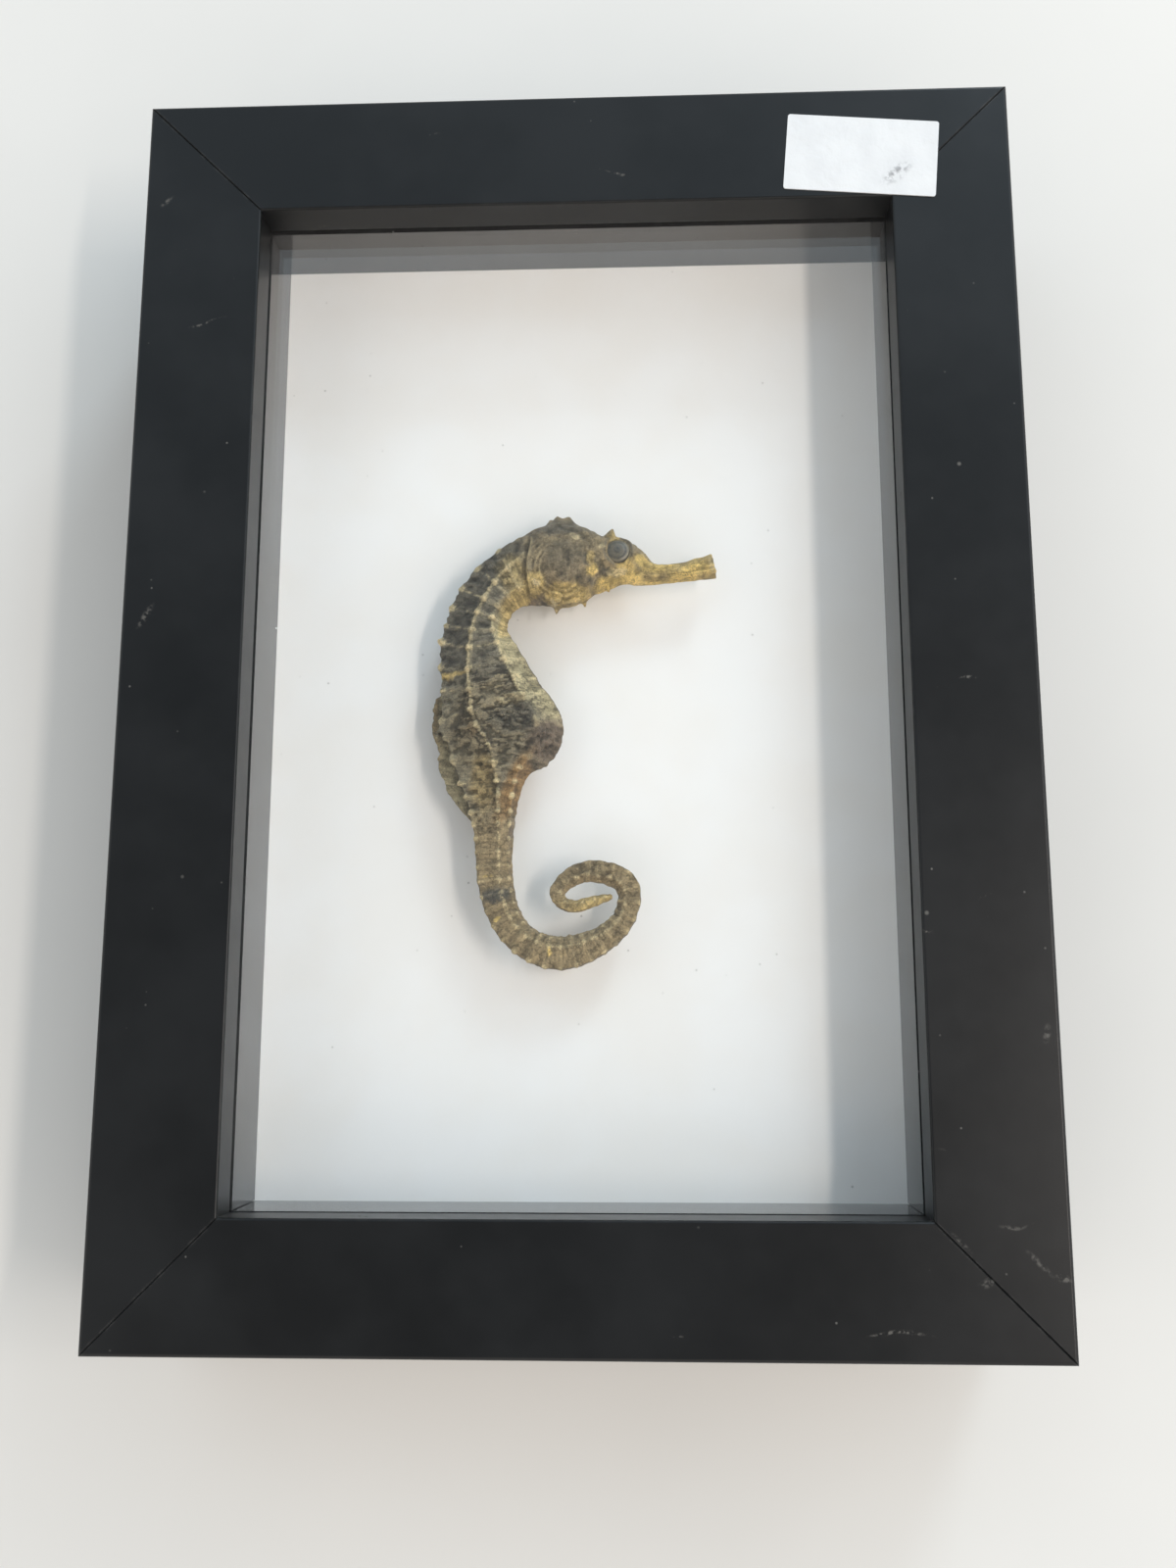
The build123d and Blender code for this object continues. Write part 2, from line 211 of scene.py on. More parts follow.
# Screws: head radius, thread, point and cross recess in millimetres, and the turn of each
SCREW_HEAD = 2.7
THREAD_START = 2.6
THREAD_PITCH = 0.9
SCREW_POINT = 2.0
RECESS = (3.0, 0.62, 1.7)
RECESS_TAPER = 0.55
SCREW_TURNS = (0.35, 1.1, -0.2, 0.7)
LATHE_SIDES = 48

# Patches of the skin by tone: place, half lengths, turn in degrees, strength
PATCHES = {
    "ochre": (
        ((4.9, 16.6), (2.3, 1.4), 0, 1.00),
        ((7.2, 17.8), (2.6, 1.4), 0, 0.95),
        ((7.4, 19.4), (1.5, 1.2), -20, 0.70),
        ((9.6, 20.6), (1.3, 0.9), -35, 0.90),
        ((2.3, 18.8), (0.7, 0.8), 0, 0.85),
        ((2.0, 20.5), (0.5, 1.0), 0, 0.45),
        ((-1.2, 15.6), (3.6, 1.4), 0, 0.65),
        ((-13.4, -12.6), (1.8, 3.8), 5, 0.25),
        ((-6.3, 16.8), (1.6, 1.7), 0, 0.60),
        ((-8.9, 14.6), (1.5, 3.0), -38, 0.55),
        ((-10.2, 11.3), (0.9, 2.3), -18, 0.50),
        ((-9.3, 18.2), (2.2, 3.2), 20, 0.38),
        ((-19.1, 3.1), (1.0, 0.6), 0, 0.75),
        ((-17.3, 3.4), (1.6, 0.35), 5, 0.55),
        ((5.3, 24.0), (0.7, 1.2), -15, 0.45),
        ((-12.6, -26.1), (0.6, 0.20), 5, 0.85),
        ((-11.1, -32.3), (0.6, 0.22), 30, 0.90),
        ((-3.9, -36.8), (0.25, 0.75), 0, 0.90),
    ),
    "olive": (
        ((-13.2, -12.6), (2.1, 3.8), 5, 1.00),
    ),
    "slate": (
        ((-1.8, 20.9), (3.0, 2.4), 0, 0.50),
        ((-1.2, 18.6), (2.0, 1.5), 0, 0.40),
        ((-2.4, 25.7), (3.6, 1.6), 0, 0.70),
        ((-3.2, 21.6), (6.5, 5.5), 0, 0.15),
        ((1.5, 20.2), (0.7, 0.7), 0, 0.65),
        ((0.5, 16.8), (0.7, 0.5), 0, 0.65),
        ((2.3, 17.2), (0.8, 0.5), 0, 0.65),
        ((4.4, 18.7), (0.9, 0.6), 0, 0.60),
        ((11.7, 19.3), (2.4, 0.6), -3, 0.85),
        ((-8.8, -3.1), (3.6, 2.2), 15, 1.00),
        ((-11.5, -28.8), (2.3, 1.1), 10, 1.00),
        ((-12.2, 20.2), (1.4, 1.0), 45, 0.60),
    ),
    "plum": (
        ((-4.0, -6.4), (3.2, 3.4), 0, 1.00),
        ((-5.6, 14.3), (1.8, 1.1), -20, 0.95),
        ((-7.3, -15.0), (5.8, 0.9), 68, 1.00),
    ),
    "tan": (
        ((-8.9, -13.2), (5.4, 1.4), 66, 1.00),
        ((-15.0, -4.7), (0.6, 1.2), 20, 0.45),
    ),
    "pale": (
        ((-5.9, 17.0), (0.5, 0.5), 0, 0.90),
        ((-3.7, 14.1), (0.5, 0.5), 0, 0.80),
        ((3.5, 22.3), (0.5, 0.4), 0, 0.70),
        ((0.0, 23.9), (1.0, 0.45), -30, 0.50),
        ((6.0, 18.7), (1.6, 0.5), 10, 0.65),
        # Painted highlight: a pale strip on the rim of the snout's flared end.
        ((19.9, 20.2), (0.35, 1.9), 8, 0.55),
        ((-11.8, 1.4), (1.6, 0.6), 15, 0.45),
        ((-9.4, -0.6), (2.2, 0.9), 12, 0.50),
        ((-9.9, 3.0), (1.9, 0.3), 8, 0.55),
    ),
    "crust": (
        ((-12.7, -4.4), (5.6, 7.5), -12, 1.00),
        ((-13.1, -14.2), (2.6, 5.5), 10, 0.80),
        ((1.8, -25.0), (3.8, 1.3), 0, 0.90),
    ),
}

# Lamps: direction from the middle of the card, distance, width and height in metres, colour
LAMPS = {
    "key": ((0.62, -0.10, 1.0), 0.9, 0.40, 0.015, (1.0, 0.91, 0.83)),
    "top": ((0.80, 1.70, 1.0), 1.1, 0.24, 0.24, (0.72, 0.88, 1.0)),
    "rear": ((0.25, -0.35, -1.0), 0.8, 0.4, 0.4, (1.0, 0.98, 0.95)),
}
SENSOR_WIDTH = 36.0
FLOOR_HALF = 3.0
FLOOR_DROP = 0.02 * MM


def srgb(red, green, blue):
    """Linear colour of a display colour given in steps of 255."""
    shares = [channel / 255 for channel in (red, green, blue)]
    return tuple(c / 12.92 if c <= 0.04045 else ((c + 0.055) / 1.055) ** 2.4 for c in shares)


def colour_property(name, description, red, green, blue):
    return FloatVectorProperty(
        name=name, description=description, default=srgb(red, green, blue),
        subtype="COLOR", size=3, min=0.0, max=1.0,
    )


def share_property(name, description, default, high=1.0):
    return FloatProperty(
        name=name, description=description, default=default, min=0.0, max=high, subtype="FACTOR",
    )


def power_property(name, description, watts):
    return FloatProperty(name=name, description=description, default=watts, min=0.0, unit="POWER")


def place_property(name, description, *millimetres):
    return FloatVectorProperty(
        name=name, description=description, default=[value * MM for value in millimetres],
        subtype="TRANSLATION", unit="LENGTH",
    )


class FinishSettings(bpy.types.PropertyGroup):
    """Colours and gloss of the frame and its sheets."""

    lacquer: colour_property("Lacquer", "Satin lacquer of the rails", 15, 16, 17)
    lacquer_roughness: share_property("Lacquer roughness", "Roughness of the satin lacquer", 0.28)
    spacer: colour_property("Spacer", "Gloss black of the spacer strips", 58, 58, 59)
    spacer_roughness: share_property("Spacer roughness", "Roughness of the spacer strips", 0.09)
    card: colour_property("Card", "White of the display card", 245, 243, 241)
    board: colour_property("Board", "Brown of the back panel", 122, 88, 58)
    filler: colour_property("Filler", "Grey-brown of the filler board", 168, 148, 120)
    label: colour_property("Label", "White of the price label", 214, 215, 216)
    steel: colour_property("Steel", "Zinc plate of buttons, hanger and screws", 186, 188, 190)


class SeahorseSettings(bpy.types.PropertyGroup):
    """Form and colours of the dried seahorse."""

    voxel: FloatProperty(
        name="Voxel", description="Grain of the sculpted mesh", default=0.2 * MM,
        min=0.1 * MM, max=1.0 * MM, unit="LENGTH", precision=5,
    )
    tail_rings: IntProperty(
        name="Tail rings", description="Bony rings of the tail", default=33, min=10, max=60,
    )
    knob_scale: share_property("Knobs", "Height of the knobs on rings and ridges, 1 as dried", 1.0, 2.0)
    plate: colour_property("Plate", "Dark grey plates of neck and trunk", 130, 122, 102)
    olive: colour_property("Olive", "Olive brown of tail and head", 152, 132, 97)
    ridge: colour_property("Ridge", "Pale cream of ridges and knobs", 210, 191, 148)
    ochre: colour_property("Ochre", "Ochre of snout and throat", 230, 197, 118)
    # The belly tone also lightens the fin, as painted light.
    belly: colour_property("Belly", "Grey-green of the belly facet", 206, 191, 149)
    plum: colour_property("Plum", "Purplish grey of pouch and throat", 116, 100, 85)
    tan: colour_property("Tan", "Thin tan skin behind the belly", 156, 122, 78)
    slate: colour_property("Slate", "Blackish patches", 87, 83, 74)


class StageSettings(bpy.types.PropertyGroup):
    """Camera, lamps and floor."""

    floor: colour_property("Floor", "Plain pale floor", 222, 220, 216)
    key_power: power_property("Key lamp", "Warm lamp on the right", 2.4)
    top_power: power_property("Top lamp", "Cool lamp beyond the top", 2.9)
    rear_power: power_property("Rear lamp", "Lamp under the floor", 2.4)
    sky_strength: FloatProperty(
        name="Sky", description="Strength of the soft light all round", default=1.34, min=0.0,
    )
    lens: FloatProperty(
        name="Lens", description="Focal length on a 36 mm sensor", default=31.71, min=10.0, unit="CAMERA",
    )
    eye_point: place_property("Camera place", "Where the camera stands", 9.42, -46.8, 222.3)
    aim_point: place_property("Camera aim", "Point on the face that it looks at", 2.10, -14.73, 38.0)


class DisplayFrameSettings(bpy.types.PropertyGroup):
    """All settings of the display frame."""

    finish: PointerProperty(type=FinishSettings, name="Finish", description="Finish of the frame")
    seahorse: PointerProperty(type=SeahorseSettings, name="Seahorse", description="Form of the specimen")
    stage: PointerProperty(type=StageSettings, name="Stage", description="Camera, lamps and floor")


class Sketch:
    """Adds nodes to one tree and joins them by the values given to their sockets."""

    def __init__(self, tree):
        self.tree = tree

    def feed(self, socket, value):
        if isinstance(value, bpy.types.NodeSocket):
            self.tree.links.new(value, socket)
        elif isinstance(value, (tuple, list)) and socket.type == "RGBA" and len(value) == 3:
            socket.default_value = (*value, 1.0)
        else:
            socket.default_value = value

    def node(self, kind, sockets=None, **settings):
        made = self.tree.nodes.new(kind)
        for name, value in settings.items():
            setattr(made, name, value)
        for key, value in (sockets or {}).items():
            self.feed(made.inputs[key], value)
        return made

    def math(self, operation, *terms):
        made = self.node("ShaderNodeMath", operation=operation)
        for socket, term in zip(made.inputs, terms):
            self.feed(socket, term)
        return made.outputs[0]

    def times(self, *terms):
        return self.math("MULTIPLY", *terms)

    def plus(self, *terms):
        return self.math("ADD", *terms)

    def most(self, *terms):
        return self.math("MAXIMUM", *terms)

    def blend(self, share, first, second, mode="MIX"):
        made = self.node("ShaderNodeMix", data_type="RGBA", blend_type=mode)
        for index, value in ((0, share), (6, first), (7, second)):
            self.feed(made.inputs[index], value)
        return made.outputs[2]

    def lay(self, tone, mask, share, colour):
        """Tone with a colour laid over it where the mask is, at a share of full strength."""
        return self.blend(self.times(mask, share), tone, colour)

    def span(self, value, start, end, low=0.0, high=1.0):
        sockets = {"Value": value, "From Min": start, "From Max": end, "To Min": low, "To Max": high}
        return self.node("ShaderNodeMapRange", sockets, interpolation_type="SMOOTHSTEP").outputs[0]

    def spread(self, noise, low, high):
        """Noise spread from its usual span to the one given."""
        return self.span(noise, 0.3, 0.7, low, high)

    def place(self, stretch=(1.0, 1.0, 1.0)):
        where = self.node("ShaderNodeTexCoord").outputs["Object"]
        return self.node("ShaderNodeMapping", {"Vector": where, "Scale": stretch}).outputs[0]

    def noise(self, scale, detail=3.0, where=None, roughness=0.55, twist=0.0):
        sockets = {
            "Vector": where or self.place(), "Scale": scale, "Detail": detail,
            "Roughness": roughness, "Distortion": twist,
        }
        return self.node("ShaderNodeTexNoise", sockets).outputs["Fac"]

    def mask(self, name):
        return self.node("ShaderNodeAttribute", attribute_name=name).outputs["Fac"]

    def vector(self, operation, *terms):
        sockets = dict(enumerate(terms))
        return self.node("ShaderNodeVectorMath", sockets, operation=operation).outputs

    def smear(self, place, angle, stretch, reach, grain):
        """Soft stretched patch about one place, broken up by noise."""
        sockets = {
            "Vector": self.node("ShaderNodeTexCoord").outputs["Object"], "Location": place,
            "Rotation": (0, 0, math.radians(angle)), "Scale": (1.0, stretch, 1.0),
        }
        local = self.node("ShaderNodeMapping", sockets, vector_type="TEXTURE").outputs[0]
        far = self.vector("LENGTH", local)["Value"]
        broken = self.span(self.noise(grain, 4.0), 0.42, 0.66)
        return self.times(self.span(far, reach, 0.1 * reach), broken)

    def bump(self, height, strength, distance):
        sockets = {"Height": height, "Strength": strength, "Distance": distance}
        return self.node("ShaderNodeBump", sockets).outputs["Normal"]

    def use(self, name, build, **sockets):
        """Outputs of a shared effect, whose node group is built when it is first used."""
        group = bpy.data.node_groups.get(name) or build(name)
        return self.node("ShaderNodeGroup", sockets, node_tree=group).outputs

    def specks(self, scale, size, share):
        return self.use("dust_specks", build_specks, Scale=scale, Size=size, Share=share)["Mask"]

    def scuffs(self, scale, share):
        return self.use("rubbed_scuffs", build_scuffs, Scale=scale, Share=share)["Mask"]

    def edge_wear(self, radius, grain):
        return self.use("edge_wear", build_edge_wear, Radius=radius, Grain=grain)["Mask"]

    def mottle(self, scale, stretch=(1.0, 1.0, 1.0)):
        return self.use("mottled_tone", build_mottle, Scale=scale, Stretch=stretch)


def effect(name, inputs, outputs):
    """Sketch of a new shader node group, the sockets that feed it and those of its result."""
    tree = bpy.data.node_groups.new(name, "ShaderNodeTree")
    for label, kind, default in inputs:
        tree.interface.new_socket(label, in_out="INPUT", socket_type=kind).default_value = default
    for label, kind in outputs:
        tree.interface.new_socket(label, in_out="OUTPUT", socket_type=kind)
    sketch = Sketch(tree)
    return sketch, sketch.node("NodeGroupInput").outputs, sketch.node("NodeGroupOutput").inputs


def build_specks(name):
    """Small round specks strewn over a surface: their mask."""
    inputs = [("Scale", NUMBER, 600.0), ("Size", NUMBER, 0.1), ("Share", NUMBER, 0.2)]
    sketch, given, result = effect(name, inputs, [("Mask", NUMBER)])
    cells = sketch.node("ShaderNodeTexVoronoi", {"Vector": sketch.place(), "Scale": given["Scale"]})
    near = sketch.math("DIVIDE", cells.outputs["Distance"], given["Size"])
    near = sketch.math("SUBTRACT", 1.0, near)
    pick = sketch.node("ShaderNodeSeparateColor", {"Color": cells.outputs["Color"]}).outputs
    chosen = sketch.math("LESS_THAN", pick[0], given["Share"])
    strength = sketch.times(chosen, sketch.span(pick[1], 0.0, 1.0, 0.35, 1.0))
    sketch.feed(result["Mask"], sketch.times(sketch.span(near, 0.0, 0.6), strength))
    return sketch.tree


def build_scuffs(name):
    """Short thin rubs in several directions: their mask."""
    inputs = [("Scale", NUMBER, 60.0), ("Share", NUMBER, 0.12)]
    sketch, given, result = effect(name, inputs, [("Mask", NUMBER)])
    where = sketch.place()
    sway = sketch.node("ShaderNodeTexNoise", {"Vector": where, "Scale": 90.0, "Detail": 2.0})
    bend = sketch.vector("MULTIPLY", sway.outputs["Color"], (0.012, 0.012, 0.012))[0]
    bent = sketch.vector("ADD", where, bend)[0]
    masks = []
    for turn in (0.5, 2.1):
        sockets = {"Vector": bent, "Rotation": (0, 0, turn), "Scale": (1, 9, 4)}
        turned = sketch.node("ShaderNodeMapping", sockets).outputs[0]
        cells = sketch.node("ShaderNodeTexVoronoi", {"Vector": turned, "Scale": given["Scale"]})
        pick = sketch.node("ShaderNodeSeparateColor", {"Color": cells.outputs["Color"]}).outputs
        chosen = sketch.math("LESS_THAN", pick[0], given["Share"])
        masks.append(sketch.times(chosen, sketch.span(cells.outputs["Distance"], 0.22, 0.05)))
    broken = sketch.span(sketch.noise(1800.0), 0.45, 0.65)
    sketch.feed(result["Mask"], sketch.times(sketch.most(*masks), broken))
    return sketch.tree


def build_edge_wear(name):
    """Rubbed edges: a mask broken up by noise, from how far the surface turns within a radius."""
    inputs = [("Radius", NUMBER, 0.0006), ("Grain", NUMBER, 900.0)]
    sketch, given, result = effect(name, inputs, [("Mask", NUMBER)])
    rounded = sketch.node("ShaderNodeBevel", {"Radius": given["Radius"]}, samples=6).outputs[0]
    true = sketch.node("ShaderNodeNewGeometry").outputs["Normal"]
    facing = sketch.vector("DOT_PRODUCT", rounded, true)["Value"]
    turned = sketch.span(sketch.math("SUBTRACT", 1.0, facing), 0.02, 0.25)
    broken = sketch.span(sketch.noise(given["Grain"], 4.0), 0.42, 0.68)
    sketch.feed(result["Mask"], sketch.times(turned, broken))
    return sketch.tree


def build_mottle(name):
    """Two scales of cloudy unevenness: a mask from 0 to 1 and a finer grain."""
    inputs = [("Scale", NUMBER, 200.0), ("Stretch", "NodeSocketVector", (1.0, 1.0, 1.0))]
    sketch, given, result = effect(name, inputs, [("Mask", NUMBER), ("Grain", NUMBER)])
    where = sketch.place(given["Stretch"])
    broad = sketch.noise(given["Scale"], 4.0, where)
    fine = sketch.noise(sketch.times(given["Scale"], 6.0), 5.0, where, 0.65)
    sketch.feed(result["Mask"], sketch.span(broad, 0.32, 0.68))
    sketch.feed(result["Grain"], fine)
    return sketch.tree


class Look(Sketch):
    """New material with one Principled shader, whose plain sockets are set here."""

    def __init__(self, name, **plain):
        self.material = bpy.data.materials.new(name)
        self.material.use_nodes = True
        self.material.node_tree.nodes.clear()
        super().__init__(self.material.node_tree)
        self.shader = self.node("ShaderNodeBsdfPrincipled")
        self.output = self.node("ShaderNodeOutputMaterial", {"Surface": self.shader.outputs[0]})
        for socket, value in plain.items():
            self.feed(self.shader.inputs[socket.replace("_", " ")], value)

    def coat(self, tone, gloss, height, strength, depth):
        """The material, with its colour, its roughness and a bump fed to the shader."""
        self.feed(self.shader.inputs["Base Color"], tone)
        self.feed(self.shader.inputs["Roughness"], gloss)
        self.feed(self.shader.inputs["Normal"], self.bump(height, strength, depth))
        return self.material

    def clear_where(self, mask, colour=(1.0, 1.0, 1.0)):
        """The material, with light let straight through where the mask is 1."""
        clear = self.node("ShaderNodeBsdfTransparent", {"Color": colour}).outputs[0]
        mix = self.node("ShaderNodeMixShader", {0: mask, 1: self.shader.outputs[0], 2: clear})
        self.feed(self.output.inputs["Surface"], mix.outputs[0])
        return self.material


def scaled(colour, factor):
    return tuple(factor * channel for channel in colour)


def lacquer_material(settings):
    """Satin black lacquer: faint cloudiness, dust, rubs, paler worn edges."""
    look = Look("black_lacquer", Specular_IOR_Level=0.3)
    cloud = look.mottle(40.0)
    dust = look.specks(420.0, 0.085, 0.16)
    fluff = look.specks(130.0, 0.05, 0.2)
    rubs = look.scuffs(55.0, 0.05)
    for x, y, angle, stretch, reach in FACE_RUBS:
        place = (x * MM, y * MM, FACE_TOP)
        rubs = look.most(rubs, look.smear(place, angle, stretch, reach * MM, 1500.0))
    light_tone = tuple(1.5 * c + 0.003 for c in settings.lacquer)
    tone = look.blend(cloud["Mask"], tuple(settings.lacquer), light_tone)
    tone = look.lay(tone, look.edge_wear(0.7 * MM, 700.0), 0.30, srgb(120, 118, 114))
    tone = look.lay(tone, rubs, 0.45, srgb(122, 118, 112))
    tone = look.lay(tone, look.most(dust, fluff), 0.18, srgb(186, 182, 174))
    gloss = look.plus(settings.lacquer_roughness, look.times(cloud["Grain"], 0.08))
    gloss = look.plus(gloss, look.times(look.most(dust, rubs), 0.25))
    height = look.plus(look.times(look.noise(2600.0, 2.0), 0.35), dust)
    return look.coat(tone, gloss, height, 0.10, 0.06 * MM)


def spacer_material(settings):
    """Gloss black strip with a few dust specks."""
    look = Look("spacer_black", IOR=2.2)
    cloud = look.mottle(120.0)
    tone = look.blend(cloud["Mask"], tuple(settings.spacer), scaled(settings.spacer, 0.7))
    tone = look.lay(tone, look.specks(500.0, 0.09, 0.25), 0.4, srgb(150, 148, 144))
    gloss = look.plus(settings.spacer_roughness, look.times(cloud["Grain"], 0.06))
    return look.coat(tone, gloss, cloud["Grain"], 0.05, 0.05 * MM)


def glass_material():
    """Clear float glass that lets the lamps through, with a trace of dust."""
    look = Look("clear_glass", Base_Color=(0.995, 1.0, 0.998), Transmission_Weight=1.0, IOR=1.5)
    haze = look.times(look.mottle(60.0)["Mask"], 0.006)
    dust = look.times(look.specks(300.0, 0.06, 0.12), 0.3)
    look.feed(look.shader.inputs["Roughness"], look.plus(haze, dust))
    rays = look.node("ShaderNodeLightPath").outputs
    lamp = look.most(rays["Is Shadow Ray"], rays["Is Diffuse Ray"])
    return look.clear_where(lamp, (0.985, 0.99, 0.988))


def card_material(settings):
    """White card: paper tooth, faint clouding and tiny specks."""
    look = Look("white_card", Specular_IOR_Level=0.25)
    fibre = look.mottle(700.0, (1.0, 3.0, 1.0))["Grain"]
    cream = tuple(c * s for c, s in zip(settings.card, (0.975, 0.96, 0.94)))
    tone = look.blend(look.mottle(55.0)["Mask"], tuple(settings.card), cream)
    tone = look.lay(tone, fibre, 0.08, srgb(205, 203, 200))
    tone = look.lay(tone, look.specks(420.0, 0.10, 0.22), 0.45, srgb(128, 122, 114))
    return look.coat(tone, look.spread(fibre, 0.62, 0.8), fibre, 0.10, 0.08 * MM)


def board_material(name, colour, stretch):
    """Pressed fibre board: flecks, short fibres and a dull sheen."""
    look = Look(name, Specular_IOR_Level=0.35)
    fibre = look.mottle(260.0, stretch)
    tone = look.blend(fibre["Mask"], scaled(colour, 0.62), tuple(colour))
    tone = look.lay(tone, look.mottle(45.0)["Mask"], 0.45, scaled(colour, 1.35))
    tone = look.lay(tone, look.specks(900.0, 0.22, 0.35), 0.5, scaled(colour, 0.4))
    return look.coat(tone, look.spread(fibre["Grain"], 0.5, 0.75), fibre["Grain"], 0.25, 0.15 * MM)


def steel_material(name, colour, roughness, tarnish):
    """Plated or plain steel: rolled streaks, bright rubbed edges, dull clouds."""
    look = Look(name, Metallic=1.0)
    streaks = look.mottle(320.0, (1.0, 6.0, 1.0))["Grain"]
    tone = look.blend(look.mottle(380.0)["Mask"], tuple(colour), scaled(colour, 1.0 - tarnish))
    tone = look.lay(tone, look.specks(1500.0, 0.2, 0.2), 0.4, srgb(92, 84, 76))
    tone = look.lay(tone, look.edge_wear(0.3 * MM, 1600.0), 0.6, srgb(226, 226, 224))
    gloss = look.plus(roughness, look.times(streaks, 0.22))
    return look.coat(tone, gloss, streaks, 0.12, 0.05 * MM)


def label_material(settings):
    """Coated label paper: fine crumple and a creased grey smudge near one corner."""
    look = Look("label_paper", Specular_IOR_Level=0.3)
    crumple = look.mottle(420.0)
    low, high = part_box("price_label")
    place = (high.x - 6.4 * MM, low.y + 3.9 * MM, high.z)
    smudge = look.smear(place, 38, 0.42, 3.6 * MM, 1300.0)
    tone = look.lay(tuple(settings.label), look.mottle(160.0)["Mask"], 0.5, srgb(226, 227, 227))
    tone = look.lay(tone, smudge, 0.75, srgb(118, 118, 120))
    height = look.plus(crumple["Mask"], look.times(smudge, 0.8))
    return look.coat(tone, look.spread(crumple["Grain"], 0.45, 0.65), height, 0.35, 0.12 * MM)


def glue_material():
    """Clear yellowish glue with small bubbles."""
    look = Look("clear_glue", Transmission_Weight=0.6, IOR=1.48, Specular_IOR_Level=0.5)
    bubbles = look.specks(1400.0, 0.3, 0.3)
    cloud = look.mottle(500.0)
    tone = look.blend(cloud["Mask"], srgb(222, 206, 168), srgb(196, 174, 126))
    tone = look.blend(bubbles, tone, srgb(238, 230, 210))
    return look.coat(tone, look.spread(cloud["Grain"], 0.14, 0.3), bubbles, 0.3, 0.1 * MM)


def skin_material(settings):
    """Dried bony skin, painted by masks that the mesh carries for its rings, ridges and patches, with
    painted shade where its relief sinks and painted highlight where it rises.
    """
    look = Look("seahorse_skin", Specular_IOR_Level=0.5)
    broad = look.mottle(420.0)["Mask"]
    fine = look.mottle(1700.0)["Grain"]
    grit = look.noise(4200.0, 3.0)
    snout = look.mask("snout")
    track = {0: look.mask("along"), 1: look.mask("around")}
    track = look.node("ShaderNodeCombineXYZ", track).outputs[0]
    across = look.node("ShaderNodeMapping", {"Vector": track, "Scale": (1.5, 0.5, 1.0)}).outputs[0]
    lengthwise = look.node("ShaderNodeMapping", {"Vector": track, "Scale": (0.3, 2.2, 1.0)}).outputs[0]
    strands = look.noise(1.4, 4.0, across, 0.6, 0.4)
    strands = look.blend(snout, strands, look.noise(1.4, 4.0, lengthwise))
    strand_mask = look.most(look.mask("strands"), look.times(snout, 0.45))
    cracks = look.math("SUBTRACT", look.noise(700.0, 5.0, None, 0.62), 0.5)
    cracks = look.span(look.math("ABSOLUTE", cracks), 0.0, 0.035, 1.0, 0.0)
    tone = look.blend(broad, scaled(settings.plate, 0.6), tuple(settings.plate))
    for name in ("olive", "belly", "plum", "tan", "slate", "ochre"):
        full = tuple(getattr(settings, name))
        tone = look.blend(look.mask(name), tone, look.blend(broad, scaled(full, 0.76), full))
    flecks = look.span(look.mask("crust"), 0.0, 1.0, 0.15, 0.80)
    flecks = look.times(look.span(fine, 0.47, 0.60), flecks)
    tone = look.blend(flecks, tone, srgb(164, 150, 118))
    # The pale mask holds pale knobs, ring lines and patches, and the painted highlight on the snout's end.
    pale = look.times(look.mask("pale"), look.span(fine, 0.30, 0.50, 0.45, 1.0))
    tone = look.blend(pale, tone, tuple(settings.ridge))
    lines = look.times(look.span(strands, 0.36, 0.64, -0.36, 0.40), strand_mask)
    # Painted shade and highlight: the relief mask darkens the colour in low places and lightens it on
    # raised ones.
    depth = look.span(look.mask("relief"), 0.15, 0.65, 0.50, 1.28)
    shade = look.times(look.plus(lines, 1.0), depth)
    shade = look.times(shade, look.spread(grit, 0.82, 1.22))
    shade = look.times(shade, look.span(cracks, 0.0, 1.0, 1.0, 0.62))
    grey = look.node("ShaderNodeCombineColor", {0: shade, 1: shade, 2: shade}).outputs[0]
    tone = look.blend(1.0, tone, grey, "MULTIPLY")
    height = look.plus(fine, look.times(flecks, 0.7))
    height = look.plus(height, look.times(lines, 0.7))
    height = look.plus(height, look.times(grit, 0.3))
    height = look.math("SUBTRACT", height, look.times(cracks, 0.8))
    return look.coat(tone, look.spread(fine, 0.36, 0.62), height, 0.8, 0.22 * MM)


def eye_material():
    """Dried eye: a dark lens in grey-brown rings under a clear coat."""
    look = Look("seahorse_eye", Coat_Weight=0.2, Coat_Roughness=0.2)
    out = look.mask("iris")
    fine = look.mottle(2600.0)
    tone = srgb(28, 26, 22)
    for start, end, colour in EYE_RINGS:
        tone = look.blend(look.span(out, start, end), tone, srgb(*colour))
    tone = look.lay(tone, fine["Mask"], 0.45, srgb(112, 104, 86))
    return look.coat(tone, look.spread(fine["Grain"], 0.3, 0.5), fine["Grain"], 0.3, 0.08 * MM)


def floor_material(settings):
    """Plain pale floor that isn't seen from below."""
    look = Look("pale_floor", Specular_IOR_Level=0.2, Roughness=0.8)
    shade = scaled(settings.floor, 0.96)
    tone = look.blend(look.mottle(9.0)["Mask"], tuple(settings.floor), shade)
    look.feed(look.shader.inputs["Base Color"], tone)
    return look.clear_where(look.node("ShaderNodeNewGeometry").outputs["Backfacing"])


def dress(names, material):
    """Gives CAD pieces a material."""
    for name in names:
        mesh = NODES[name].data
        mesh.materials.clear()
        mesh.materials.append(material)


def new_object(name, data):
    made = bpy.data.objects.new(name, data)
    bpy.context.scene.collection.objects.link(made)
    return made


def new_piece(name, mesh, materials, replaces):
    """Adds a mesh as a piece that rides on the fixed frame and stands for a CAD node."""
    piece = new_object(name, mesh)
    for material in materials:
        mesh.materials.append(material)
    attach(piece, FIXED)
    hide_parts(replaces)


def smoothstep(start, end, value):
    share = np.clip((value - start) / (end - start), 0.0, 1.0)
    return share * share * (3 - 2 * share)


